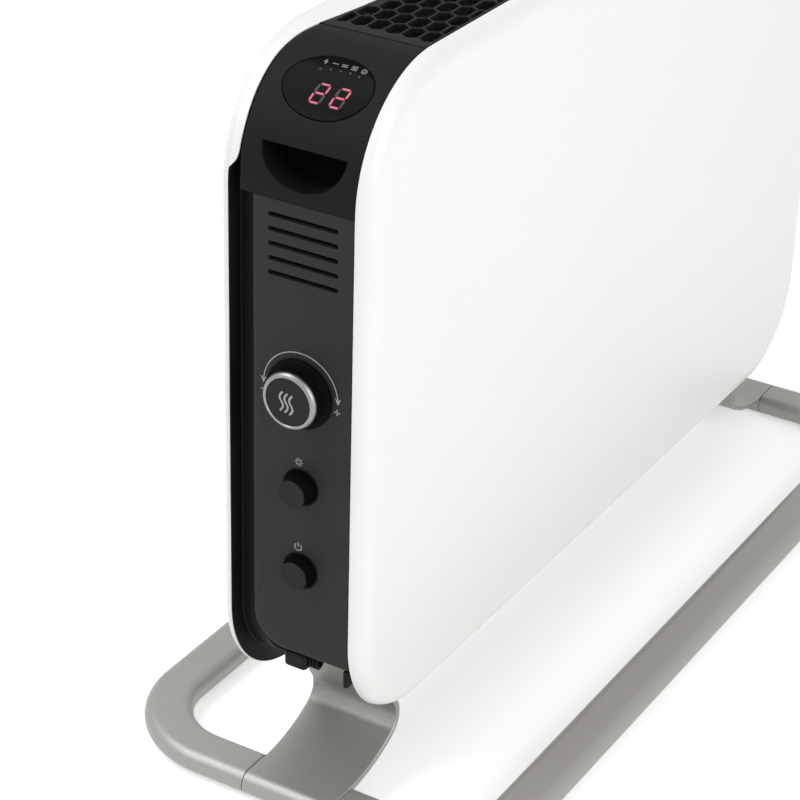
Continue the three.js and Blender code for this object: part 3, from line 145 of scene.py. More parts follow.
@dataclass(frozen=True)
class Finish:
    """A moulded, sprayed or baked surface with a fine grain.

    The grain is a noise of the real grain's size; it lifts the surface a little and makes the
    gloss uneven, and a second, slow noise lets the tone wander as it does on a real part.
    """

    name: str
    slot: str
    color: str
    roughness: float
    metallic: float = 0.0
    ior: float = 1.5
    specular: float = 0.5
    grain_mm: float = 0.8
    grain_lift_mm: float = 0.01
    gloss_spread: float = 0.06
    tone_spread: float = 0.05
    tone_mm: float = 60.0
    coat: float = 0.0
    coat_roughness: float = 0.08

    def material(self) -> Material:
        """Makes the Blender material."""
        made = bpy.data.materials.new(self.name)
        made.use_nodes = True
        tree = made.node_tree
        tree.nodes.clear()
        where = add_node(tree, "ShaderNodeTexCoord").outputs["Object"]
        shader = add_node(
            tree,
            "ShaderNodeBsdfPrincipled",
            {
                "Metallic": self.metallic,
                "IOR": self.ior,
                "Specular IOR Level": self.specular,
                "Coat Weight": self.coat,
                "Coat Roughness": self.coat_roughness,
            },
        )
        self.paint(tree, shader, where)
        add_node(tree, "ShaderNodeOutputMaterial", links={"Surface": shader.outputs["BSDF"]})
        return made

    def noise(
        self, tree: bpy.types.NodeTree, where: Socket, size_mm: float, detail: float
    ) -> Socket:
        """Adds a noise.

        Args:
            tree: The material's node tree.
            where: Object coordinates.
            size_mm: About how wide its blobs are.
            detail: How many finer octaves it has.

        Returns:
            Its value.
        """
        scale = 1 / (size_mm * MM)
        settings = {"Scale": scale, "Detail": detail, "Roughness": NOISE_ROUGHNESS}
        return add_node(tree, "ShaderNodeTexNoise", settings, {"Vector": where}).outputs["Fac"]

    def shade(self, tree: bpy.types.NodeTree, factor: Socket, low: str, high: str) -> Socket:
        """Mixes two hex colours by a factor and returns the colour."""
        settings = {"data_type": "RGBA", 6: linear(low), 7: linear(high)}
        return add_node(tree, "ShaderNodeMix", settings, {0: factor}).outputs[2]

    def spread(self, tree: bpy.types.NodeTree, factor: Socket, low: float, high: float) -> Socket:
        """Maps a noise's middle range to low..high and returns the value."""
        settings = {"From Min": NOISE_LOW, "From Max": NOISE_HIGH, "To Min": low, "To Max": high}
        return add_node(tree, "ShaderNodeMapRange", settings, {"Value": factor}).outputs["Result"]

    def paint(self, tree: bpy.types.NodeTree, shader: bpy.types.Node, where: Socket) -> None:
        """Feeds the shader's colour, roughness and normal.

        Args:
            tree: The material's node tree.
            shader: The Principled shader.
            where: Object coordinates.
        """
        tone = self.noise(tree, where, self.tone_mm, 2.0)
        grain = self.noise(tree, where, self.grain_mm, 3.0)
        value = self.spread(tree, tone, 1 - self.tone_spread, 1.0)
        tinted = add_node(
            tree, "ShaderNodeHueSaturation", {"Color": linear(self.color)}, {"Value": value}
        )
        tree.links.new(tinted.outputs["Color"], shader.inputs["Base Color"])
        gloss = self.spread(
            tree, grain, self.roughness - self.gloss_spread, self.roughness + self.gloss_spread
        )
        tree.links.new(gloss, shader.inputs["Roughness"])
        settings = {"Strength": 1.0, "Distance": self.grain_lift_mm * MM}
        bump = add_node(tree, "ShaderNodeBump", settings, {"Height": grain})
        tree.links.new(bump.outputs["Normal"], shader.inputs["Normal"])


@dataclass(frozen=True)
class TurnedPlating(Finish):
    """Plated plastic turned on a lathe: fine rings round the knob's axis.

    Real turning marks are finer than the render can show, so they are drawn coarser: ring_mm is
    one radian of a ring's wave, which makes a ring 2.2 mm wide.
    """

    axis_mm: tuple[float, float, float] = (0.0, 0.0, 0.0)
    ring_mm: float = 0.35
    ring_lift_mm: float = 0.01
    ring_strength: float = 0.5

    def paint(self, tree: bpy.types.NodeTree, shader: bpy.types.Node, where: Socket) -> None:
        """Adds the turned rings to the plain finish.

        Args:
            tree: The material's node tree.
            shader: The Principled shader.
            where: Object coordinates.
        """
        super().paint(tree, shader, where)
        centre = tuple(-v * MM for v in self.axis_mm)
        moved = add_node(tree, "ShaderNodeMapping", {"Location": centre}, {"Vector": where})
        settings = {
            "wave_type": "RINGS",
            "rings_direction": "X",
            "Scale": 1 / (self.ring_mm * MM) / WAVE_RADIANS,
            "Distortion": 0.4,
            "Detail": 2.0,
        }
        rings = add_node(tree, "ShaderNodeTexWave", settings, {"Vector": moved.outputs["Vector"]})
        settings = {"Strength": self.ring_strength, "Distance": self.ring_lift_mm * MM}
        bump = add_node(tree, "ShaderNodeBump", settings, {"Height": rings.outputs["Fac"]})
        tree.links.new(bump.outputs["Normal"], shader.inputs["Normal"])


@dataclass(frozen=True)
class FlakePaint(Finish):
    """Silver spray paint: metal flakes under a thin clear layer, with a slight peel.

    Real flakes are about 0.05 mm, too fine to show, so they are drawn nine times as coarse.
    """

    flake_mm: float = 0.45
    dark_flake: str = "9c9a97"

    def paint(self, tree: bpy.types.NodeTree, shader: bpy.types.Node, where: Socket) -> None:
        """Adds the flakes' sparkle to the plain finish.

        Args:
            tree: The material's node tree.
            shader: The Principled shader.
            where: Object coordinates.
        """
        super().paint(tree, shader, where)
        settings = {"Scale": 1 / (self.flake_mm * MM)}
        cells = add_node(tree, "ShaderNodeTexVoronoi", settings, {"Vector": where})
        value = add_node(tree, "ShaderNodeSeparateColor", links={"Color": cells.outputs["Color"]})
        flakes = self.shade(tree, value.outputs["Red"], self.dark_flake, self.color)
        tree.links.new(flakes, shader.inputs["Base Color"])


@dataclass(frozen=True)
class CircuitSheet(Finish):
    """Glass-fibre board under a solder mask: a net of tracks shows as darker green."""

    track_mm: float = 2.5
    track: str = "0f3d22"
    track_edge: Point = (0.05, 0.12)

    def paint(self, tree: bpy.types.NodeTree, shader: bpy.types.Node, where: Socket) -> None:
        """Adds the tracks to the plain finish.

        Args:
            tree: The material's node tree.
            shader: The Principled shader.
            where: Object coordinates.
        """
        super().paint(tree, shader, where)
        settings = {"Scale": 1 / (self.track_mm * MM), "feature": "DISTANCE_TO_EDGE"}
        cells = add_node(tree, "ShaderNodeTexVoronoi", settings, {"Vector": where})
        settings = {"From Min": self.track_edge[0], "From Max": self.track_edge[1]}
        links = {"Value": cells.outputs["Distance"]}
        edge = add_node(tree, "ShaderNodeMapRange", settings, links).outputs["Result"]
        tracks = self.shade(tree, edge, self.track, self.color)
        tree.links.new(tracks, shader.inputs["Base Color"])


@dataclass(frozen=True)
class LitSegment(Finish):
    """A lit bar of the digits behind the window: red glow with a glossy face."""

    glow: str = "ff5a78"
    strength: float = 1.0
    patch_mm: float = 3.0
    least_share: float = 0.8

    def paint(self, tree: bpy.types.NodeTree, shader: bpy.types.Node, where: Socket) -> None:
        """Adds the glow, a little uneven along each bar.

        Args:
            tree: The material's node tree.
            shader: The Principled shader.
            where: Object coordinates.
        """
        super().paint(tree, shader, where)
        shader.inputs["Emission Color"].default_value = linear(self.glow)
        patch = self.noise(tree, where, self.patch_mm, 1.0)
        level = self.spread(tree, patch, self.strength * self.least_share, self.strength)
        tree.links.new(level, shader.inputs["Emission Strength"])


# Baked powder enamel on pressed steel: nearly white, satin, with a faint orange peel.
ENAMEL = Finish("baked_white_enamel", "white_enamel", "f3f1ef", 0.34, grain_mm=1.6,
                grain_lift_mm=0.006, gloss_spread=0.03, tone_spread=0.01, tone_mm=180)
# Injection-moulded ABS with a spark-eroded grain: dark grey, matt, almost no mirror.
GRAINED_ABS = Finish("spark_eroded_black_abs", "black_plastic", "2a2a28", 0.6, specular=0.2,
                     grain_mm=0.7, grain_lift_mm=0.012, gloss_spread=0.05, tone_spread=0.08)
# Finer grain from another mould, for the caps and the grille: darker than the panels, a tone that is
# partly painted shade on their upward-facing surfaces.
FINE_ABS = Finish("fine_grained_black_abs", "black_plastic", "1f1f1e", 0.5, specular=0.06,
                  grain_mm=0.5, grain_lift_mm=0.006, gloss_spread=0.05, tone_spread=0.08)
# The same plastic from a smooth mould: near black, a soft sheen on its edges.
SMOOTH_ABS = Finish("moulded_black_abs", "dark_plastic", "1b1b1a", 0.42, specular=0.1,
                    grain_mm=1.2, grain_lift_mm=0.004, tone_spread=0.08)
# The sides of the knob and buttons and their collars: the same plastic painted darkest, as painted
# shade on these sides and round the buttons, almost without sheen.
PAINTED_SHADE_ABS = Finish("black_abs_painted_shade", "dark_plastic", "0b0b0b", 0.5, specular=0.03,
                    grain_mm=1.2, grain_lift_mm=0.004, tone_spread=0.08)
# The finger cups: the same plastic, coarse, painted darker as painted shade inside the cups.
CUP_PAINTED_SHADE_ABS = Finish("coarse_black_abs_painted_shade", "black_plastic", "131312", 0.7, specular=0.03,
                  grain_mm=0.7, grain_lift_mm=0.01, tone_spread=0.06)
# The knob's and buttons' faces: the same plastic, a little greyer than their sides, which carry painted
# shade.
FACE_ABS = Finish("satin_black_abs", "dark_plastic", "20201f", 0.5, specular=0.15,
                     grain_mm=0.9, grain_lift_mm=0.005, tone_spread=0.06)
# Glossy smoked polycarbonate: black, mirror smooth, hides what isn't lit behind it.
SMOKED_PC = Finish("smoked_polycarbonate", "smoked_window", "0a0a0b", 0.16, ior=1.58,
                   specular=0.022, grain_mm=8, grain_lift_mm=0.001, gloss_spread=0.02)
# Unlit display bars seen through the smoked window: barely lighter than it.
UNLIT = Finish("unlit_display_bar", "smoked_window", "3c3734", 0.2, ior=1.58, specular=0.1,
               grain_mm=4, grain_lift_mm=0.001, gloss_spread=0.02)
# Screen-printed grey ink: flat and matt.
INK = Finish("screen_printed_ink", "black_plastic", "a9a9a7", 0.6, grain_mm=0.5,
             grain_lift_mm=0.003, tone_spread=0.12, tone_mm=4)
# Silver spray paint on steel tube: a satin grey with a fine sparkle and no mirror.
SILVER = FlakePaint("sprayed_silver_paint", "silver_paint", "a6a4a0", 0.46, metallic=0.6,
                    grain_mm=0.9, grain_lift_mm=0.003, gloss_spread=0.04, coat=0.02)
# Moulded rubber: black and dull, with a coarse skin.
RUBBER = Finish("moulded_black_rubber", "black_rubber", "161616", 0.8, grain_mm=0.6,
                grain_lift_mm=0.03)
# Zinc-plated sheet: a bluish grey metal with cloudy patches.
ZINC = Finish("rolled_zinc_plated_steel", "zinc_sheet", "a9abab", 0.4, metallic=1.0,
              grain_mm=3.0, grain_lift_mm=0.01, gloss_spread=0.12, tone_spread=0.15, tone_mm=12)
# Cast aluminium: a dull grey metal with a sandy skin.
CAST = Finish("sand_cast_aluminium", "cast_aluminium", "9a9b9c", 0.55, metallic=1.0,
              grain_mm=1.0, grain_lift_mm=0.06, gloss_spread=0.1, tone_spread=0.1)
# Pressed ceramic, unglazed: cream and matt.
CERAMIC = Finish("pressed_steatite_ceramic", "ceramic", "e0d9c8", 0.5, ior=1.55, grain_mm=0.6,
                 grain_lift_mm=0.02)
# Circuit board under a solder mask: glossy green with darker tracks.
BOARD = CircuitSheet("masked_glass_fibre_board", "circuit_board", "1e5c39", 0.35, ior=1.55)
# Moulded nylon in its own colour: a warm pale satin.
NYLON = Finish("moulded_natural_nylon", "pale_nylon", "d8d3c4", 0.45, ior=1.53, grain_mm=1.0,
               grain_lift_mm=0.01)
# A lit bar of a digit: an even red glow behind the window.
LIT = LitSegment("lit_red_bar", "smoked_window", "4a1420", 0.2, ior=1.58, specular=0.1,
                 glow="c23f60", strength=0.85)
# The hottest middle of a lit bar: a pale pink line.
HOT = LitSegment("lit_bar_core", "smoked_window", "5a2430", 0.2, ior=1.58, specular=0.1,
                 glow="f3a9b8", strength=0.8)
# An icon lit from behind, its glow painted as a flat pale grey, uneven from one icon to the next.
FAINT_ICON = Finish("backlit_grey_icon", "smoked_window", "9b9b99", 0.2, ior=1.58,
                    specular=0.1, tone_spread=0.3, tone_mm=3)


@dataclass
class Paints:
    """Makes each finish's material once and hands it out."""

    made: dict[str, Material] = field(default_factory=dict)

    def of(self, finish: Finish) -> Material:
        """The material of a finish."""
        if finish.name not in self.made:
            self.made[finish.name] = finish.material()
        return self.made[finish.name]


PAINTS = Paints()


# ---------- plane outlines ----------


def oval(u: float, v: float, across: float, along: float, steps: int = 64) -> Loop:
    """An ellipse as a loop that can grow.

    Args:
        u: Its middle's u.
        v: Its middle's v.
        across: Half axis along u.
        along: Half axis along v.
        steps: Points round it.

    Returns:
        The loop.
    """

    def points(grow: float) -> list[Point]:
        """The grown ellipse."""
        turn = [2 * math.pi * i / steps for i in range(steps)]
        return [(u + (across + grow) * math.cos(a), v + (along + grow) * math.sin(a)) for a in turn]

    return points


def rounded_rect(
    u0: float, u1: float, v0: float, v1: float, radii: Sequence[float], steps: int = 5
) -> Loop:
    """A rectangle with rounded corners, as a loop that can grow.

    Args:
        u0: Lowest u.
        u1: Highest u.
        v0: Lowest v.
        v1: Highest v.
        radii: Corner radii from (low u, low v), going round counter-clockwise.
        steps: Steps in each corner.

    Returns:
        The loop.
    """
    signs = [(-1, -1), (1, -1), (1, 1), (-1, 1)]
    spots = [(u0, v0), (u1, v0), (u1, v1), (u0, v1)]

    def points(grow: float) -> list[Point]:
        """The grown rectangle."""
        made = []
        for k, ((su, sv), (u, v), radius) in enumerate(zip(signs, spots, radii)):
            cu, cv = u - su * radius, v - sv * radius
            for i in range(steps + 1):
                a = math.pi + (k + i / steps) * QUARTER
                reach = max(radius + grow, 0.0)
                short = min(radius + grow, 0.0)
                made.append(
                    (cu + su * short + reach * math.cos(a), cv + sv * short + reach * math.sin(a))
                )
        return made

    return points


def slot_loop(u: float, v: float, length: float, height: float) -> Loop:
    """A slot with round ends, long in u, as a loop that can grow."""
    r = height / 2
    return rounded_rect(u - length / 2, u + length / 2, v - r, v + r, [r] * 4)


def mapped(loop: Loop, change: Callable[[Point], Point]) -> Loop:
    """A loop with every point changed."""
    return lambda grow: [change(p) for p in loop(grow)]


# ---------- meshes ----------


@dataclass
class Blank:
    """A mesh under construction, in millimetres."""

    points: list[Vector] = field(default_factory=list)
    faces: list[tuple[int, ...]] = field(default_factory=list)

    def ring(self, points: Iterable[Vector]) -> list[int]:
        """Adds points and returns their places."""
        start = len(self.points)
        self.points.extend(Vector(p) for p in points)
        return list(range(start, len(self.points)))

    def bridge(self, a: Sequence[int], b: Sequence[int]) -> None:
        """Joins two rings with quads.

        Args:
            a: The first ring's places.
            b: The second ring's places, as many.
        """
        count = len(a)
        for i in range(count):
            j = (i + 1) % count
            self.faces.append((a[i], a[j], b[j], b[i]))

    def skin(self, rings: Sequence[Sequence[Vector]], capped: bool = True) -> None:
        """Joins rings of points into a tube.

        Args:
            rings: The rings, each a closed loop of points.
            capped: Whether the tube gets a face on each end.
        """
        placed = [self.ring(r) for r in rings]
        for a, b in zip(placed, placed[1:]):
            self.bridge(a, b)
        if capped:
            self.faces += [tuple(placed[0]), tuple(placed[-1])]

    def add(self, other: "Blank") -> "Blank":
        """Adds another blank's mesh to this one.

        Args:
            other: The other blank.

        Returns:
            This blank, so that calls can be chained.
        """
        start = len(self.points)
        self.points.extend(other.points)
        self.faces.extend(tuple(i + start for i in f) for f in other.faces)
        return self

    def moved(self, place: Placer) -> "Blank":
        """A copy with every point placed anew."""
        return Blank([place(p) for p in self.points], list(self.faces))

    def cut(self, normal: Vector, distances: Iterable[float]) -> "Blank":
        """A copy whose faces are split along parallel planes.

        Args:
            normal: The planes' normal.
            distances: How far along it each plane lies.

        Returns:
            The finer blank.
        """
        work = self.as_bmesh(1.0)
        for distance in distances:
            geometry = work.verts[:] + work.edges[:] + work.faces[:]
            bmesh.ops.bisect_plane(
                work, geom=geometry, dist=CUT_TOLERANCE, plane_co=normal * distance,
                plane_no=normal,
            )
        work.verts.index_update()
        made = Blank([v.co.copy() for v in work.verts], [])
        made.faces = [tuple(v.index for v in f.verts) for f in work.faces]
        work.free()
        return made

    def as_bmesh(self, scale: float) -> bmesh.types.BMesh:
        """The blank as a bmesh, without its faces that have fewer than three corners.

        Args:
            scale: What its points are multiplied by.

        Returns:
            The bmesh.
        """
        work = bmesh.new()
        verts = [work.verts.new(p * scale) for p in self.points]
        for face in self.faces:
            corners = [verts[i] for i in face]
            if len(set(corners)) > 2:
                work.faces.new(corners)
        return work

    def build(
        self,
        name: str,
        finish: Finish,
        body: Body,
        replaces: Sequence[str] = (),
        sharp: float = 35.0,
    ) -> Object:
        """Makes the Blender object and places it on its body.

        Args:
            name: The piece's name.
            finish: What it is made of.
            body: The body it rides on.
            replaces: The CAD nodes it stands for.
            sharp: Edges that turn by more degrees than this stay crisp.

        Returns:
            The object.
        """
        work = self.as_bmesh(MM)
        bmesh.ops.remove_doubles(work, verts=work.verts, dist=MERGE_DISTANCE)
        bmesh.ops.recalc_face_normals(work, faces=work.faces)
        mesh = bpy.data.meshes.new(name)
        work.to_mesh(mesh)
        work.free()
        mesh.shade_smooth()
        mesh.set_sharp_from_angle(angle=math.radians(sharp))
        made = bpy.data.objects.new(name, mesh)
        bpy.context.scene.collection.objects.link(made)
        mesh.materials.append(PAINTS.of(finish))
        weighted = made.modifiers.new("flat_faces_stay_flat", "WEIGHTED_NORMAL")
        weighted.keep_sharp = True
        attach(made, body.value)
        if replaces:
            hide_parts(*replaces)
        LOG.info("%s: %d faces, %s", name, len(mesh.polygons), finish.name)
        return made


def punched_plate(
    outer: Loop, holes: Sequence[Loop], thickness: float, edge: float, steps: int = 3
) -> Blank:
    """A plate with holes, all its upper edges rounded, its upper face at height 0.

    Args:
        outer: The outline.
        holes: The holes' outlines.
        thickness: How thick the plate is.
        edge: Radius of the rounded upper edges.
        steps: Steps in each rounded edge.

    Returns:
        The plate, with points (u, v, height).
    """
    made = Blank()
    upper: list[list[int]] = []
    lower: list[list[int]] = []
    for sign, loop in [(-1, outer), *((1, hole) for hole in holes)]:
        rings = []
        for i in range(steps + 1):
            a = (i / steps) * QUARTER
            grow, drop = edge * (1 - math.sin(a)), edge * (1 - math.cos(a))
            rings.append(made.ring(Vector((u, v, -drop)) for u, v in loop(sign * grow)))
        rings.append(made.ring(Vector((u, v, -thickness)) for u, v in loop(0.0)))
        for a_ring, b_ring in zip(rings, rings[1:]):
            made.bridge(a_ring, b_ring)
        upper.append(rings[0])
        lower.append(rings[-1])
    for loops in (upper, lower):
        order = [i for ring in loops for i in ring]
        flat = [[Vector((made.points[i].x, made.points[i].y, 0)) for i in ring] for ring in loops]
        made.faces += [tuple(order[i] for i in tri) for tri in tessellate_polygon(flat)]
    return made


def turned(profile: Sequence[Point], steps: int = 96) -> Blank:
    """A profile turned about the height axis.

    Args:
        profile: Its points as (radius, height).
        steps: Steps round the axis.

    Returns:
        The turned piece, with points (u, v, height).
    """
    made = Blank()
    rings: list[list[int]] = []
    for radius, height in profile:
        if radius < ON_AXIS:
            rings.append(made.ring([Vector((0, 0, height))]))
            continue
        turn = [2 * math.pi * i / steps for i in range(steps)]
        rings.append(
            made.ring(Vector((radius * math.cos(a), radius * math.sin(a), height)) for a in turn)
        )
    for a_ring, b_ring in zip(rings, rings[1:]):
        if len(a_ring) == 1 or len(b_ring) == 1:
            tip, rim = (a_ring[0], b_ring) if len(a_ring) == 1 else (b_ring[0], a_ring)
            made.faces += [(tip, rim[i], rim[(i + 1) % steps]) for i in range(steps)]
        else:
            made.bridge(a_ring, b_ring)
    return made


def rounded(profile: Sequence[tuple[float, float, float]], steps: int = 4) -> list[Point]:
    """A profile with rounded corners.

    Args:
        profile: Corner points as (radius, height, corner radius); the ends stay as they are.
        steps: Steps in each rounded corner.

    Returns:
        The points.
    """
    made = [(profile[0][0], profile[0][1])]
    for before, corner, after in zip(profile, profile[1:], profile[2:]):
        here, size = Vector(corner[:2]), corner[2]
        if size <= 0:
            made.append((here.x, here.y))
            continue
        back = (Vector(before[:2]) - here).normalized() * size
        ahead = (Vector(after[:2]) - here).normalized() * size
        for i in range(steps + 1):
            t = i / steps
            p = (here + back) * (1 - t) ** 2 + here * (2 * t * (1 - t)) + (here + ahead) * t**2
            made.append((p.x, p.y))
    made.append((profile[-1][0], profile[-1][1]))
    return made


def pillow_box(size: Vector, centre: Vector, edge: float, steps: int = 3) -> Blank:
    """A block with all its edges rounded.

    Args:
        size: Its size along X, Y and Z.
        centre: Its middle.
        edge: How far its upper and lower edges are rounded.
        steps: Steps in each rounded edge.

    Returns:
        The block.
    """
    half = size / 2
    outline = rounded_rect(-half.x, half.x, -half.y, half.y, [edge * 1.5] * 4, steps)
    rings = []
    for sign in (-1, 1):
        for i in range(steps + 1):
            a = (i / steps if sign > 0 else 1 - i / steps) * QUARTER
            grow, height = edge * (math.cos(a) - 1), half.z - edge * (1 - math.sin(a))
            rings.append([Vector((u, v, sign * height)) + centre for u, v in outline(grow)])
    made = Blank()
    made.skin(rings)
    return made


def ribbon(points: Sequence[Point], width: float) -> list[list[Point]]:
    """A line as a list of four-cornered patches.

    Args:
        points: The line's points.
        width: How wide it is drawn.

    Returns:
        The patches.
    """
    vectors = [Vector(p) for p in points]
    sides = []
    for before, p, after in zip([vectors[0], *vectors], vectors, [*vectors[1:], vectors[-1]]):
        along = (after - before).normalized()
        across = Vector((-along.y, along.x)) * (width / 2)
        sides.append((p + across, p - across))
    return [[tuple(a[0]), tuple(a[1]), tuple(b[1]), tuple(b[0])] for a, b in zip(sides, sides[1:])]


def snowflake(u: float, v: float, radius: float, width: float) -> list[list[Point]]:
    """A snowflake of eight short spokes.

    Args:
        u: Its middle's u.
        v: Its middle's v.
        radius: How far the spokes reach.
        width: How wide they are drawn.

    Returns:
        The spokes' patches.
    """
    made = []
    for i in range(8):
        a = math.pi * i / 4
        c, s = math.cos(a), math.sin(a)
        inner = radius * (0.28 if i % 2 else 0.4)
        made += ribbon([(u + inner * c, v + inner * s), (u + radius * c, v + radius * s)], width)
    return made


def inlay(patches: Sequence[Sequence[Point]], thickness: float) -> Blank:
    """Thin patches that lie on a face.

    Args:
        patches: Their outlines.
        thickness: How far their tops stand off the face, and their undersides lie below it.

    Returns:
        The patches, with points (u, v, height).
    """
    made = Blank()
    for patch in patches:
        low = [Vector((u, v, -thickness)) for u, v in patch]
        high = [Vector((u, v, thickness)) for u, v in patch]
        made.skin([low, high])
    return made


def arc(u: float, v: float, radius: float, start: float, end: float, steps: int) -> list[Point]:
    """Points along a circle's arc, angles in degrees."""
    turn = [math.radians(start + (end - start) * i / steps) for i in range(steps + 1)]
    return [(u + radius * math.cos(a), v + radius * math.sin(a)) for a in turn]


def smooth_line(marks: Sequence[Point], place: float) -> float:
    """The height of a smooth line through marks, level past its ends.

    Args:
        marks: The marks as (place, height), by rising place.
        place: Where the height is asked for.

    Returns:
        The height.
    """
    places = [m[0] for m in marks]
    heights = [m[1] for m in marks]
    if place <= places[0] or place >= places[-1]:
        return heights[0] if place <= places[0] else heights[-1]
    steps = [(b[1] - a[1]) / (b[0] - a[0]) for a, b in zip(marks, marks[1:])]
    slopes = [0.0, *((a + b) / 2 if a * b > 0 else 0.0 for a, b in zip(steps, steps[1:])), 0.0]
    i = next(k for k, p in enumerate(places[1:]) if place <= p)
    run = places[i + 1] - places[i]
    t = (place - places[i]) / run
    return (heights[i] * (1 + 2 * t) * (1 - t) ** 2 + heights[i + 1] * t * t * (3 - 2 * t)
            + run * (slopes[i] * t * (1 - t) ** 2 - slopes[i + 1] * t * t * (1 - t)))


def quarter_drop(reach: float, width: float, drop: float) -> float:
    """How far a rounded edge has dropped at a point of it.

    Args:
        reach: How far the point lies from the edge's end.
        width: How wide the rounded edge is.
        drop: How far it drops in all.

    Returns:
        The drop.
    """
    if reach >= width:
        return 0.0
    t = min(1 - max(reach, 0.0) / width, 1.0)
    return drop * (1 - math.sqrt(1 - t * t))


# ---------- the body's plan ----------


@dataclass(frozen=True)
class Station:
    """A place on the body's outline: the middle of its corner's arc, the radius and the angle."""

    x: float
    z: float
    radius: float
    angle: float

    def at(self, inset: float, y: float) -> Vector:
        """The point drawn in from the outline by inset, at depth y."""
        reach = self.radius - inset
        return Vector((self.x + reach * math.cos(self.angle), y, self.z + reach * math.sin(self.angle)))


@dataclass(frozen=True)
class BodyPlan:
    """The sizes that the body's pieces share."""

    half_length: float = 300.0
    lift: float = 56.6
    height: float = 402.0
    core_front: float = -33.5
    core_back: float = 46.5
    top_radius: float = 73.0
    low_radius: float = 66.0
    gap: float = 0.3
    panel_front: float = -33.2
    panel_back: float = 31.7
    base_bottom: float = 104.6
    face_inset: float = 0.8
    control_y: float = -1.35
    grip_y: float = 1.05
    window_distance: float = 65.4
    shell_edge: tuple[Point, ...] = (
        (10.6, 45.4), (11.9, 44.0), (15.2, 41.4), (19.0, 40.2), (24.0, 40.0), (62.0, 39.9),
        (80.0, 38.9), (96.0, 36.0), (110.0, 32.1), (125.0, 29.6), (150.0, 26.3), (190.0, 23.8),
        (235.0, 23.2))

    @property
    def top(self) -> float:
        """Height of the body's top."""
        return self.lift + self.height

    @property
    def corner_z(self) -> float:
        """Height at which the upper corners leave the straight ends."""
        return self.top - self.top_radius

    def corner(self, side: Side, upper: bool, start: float, end: float, steps: int) -> list[Station]:
        """Stations along one corner's arc.

        Args:
            side: Which end.
            upper: Whether it is the upper corner.
            start: First angle in degrees, 0 along +X and 90 up.
            end: Last angle in degrees.
            steps: Steps along the arc.

        Returns:
            The stations.
        """
        radius = self.top_radius if upper else self.low_radius
        x = side.value * (self.half_length - radius)
        z = self.top - radius if upper else self.lift + radius
        return [
            Station(x, z, radius, math.radians(start + (end - start) * i / steps))
            for i in range(steps + 1)
        ]

    def outline(self, steps: int = 28) -> list[Station]:
        """Stations round the whole body, counter-clockwise from its lower right.

        Args:
            steps: Steps along each corner's arc.

        Returns:
            The stations.
        """
        return [
            *self.corner(Side.RIGHT, False, -90, 0, steps),
            *self.corner(Side.RIGHT, True, 0, 90, steps),
            *self.corner(Side.LEFT, True, 90, 180, steps),
            *self.corner(Side.LEFT, False, 180, 270, steps),
        ]

    def on_curve(self, side: Side) -> Placer:
        """A placer for an upper corner.

        Args:
            side: Which end.

        Returns:
            What places (distance up the curve, depth, height off the surface).
        """

        def place(p: Vector) -> Vector:
            """The point on the curve."""
            turn = p.x / self.top_radius
            reach = self.top_radius + p.z
            x = self.half_length - self.top_radius + reach * math.cos(turn)
            return Vector((side.value * x, p.y, self.corner_z + reach * math.sin(turn)))

        return place

    def on_face(self, side: Side) -> Placer:
        """A placer for an end panel's face.

        Args:
            side: Which end.

        Returns:
            What places (depth, height on the panel, height off it).
        """

        def place(p: Vector) -> Vector:
            """The point on the face."""
            return Vector((side.value * (self.half_length - self.face_inset + p.z), p.x, p.y))

        return place

    @property
    def curve_length(self) -> float:
        """Length of an upper corner's arc."""
        return self.top_radius * QUARTER

    def shell_front(self, distance: float) -> float:
        """Depth of the back shell's front edge, by the distance along the surface.

        Args:
            distance: Length up the corner's arc from the straight end, and on along the top.

        Returns:
            The depth.
        """
        return smooth_line(self.shell_edge, distance)

    def shell_front_over(self, x: float) -> float:
        """Depth of the back shell's front edge over the flat top at x."""
        return self.shell_front(self.curve_length + self.half_length - self.top_radius - abs(x))

    def up_curve(self, z: float) -> float:
        """Distance up the corner's curve of a height."""
        return self.top_radius * math.asin((z - self.corner_z) / self.top_radius)


PLAN = BodyPlan()


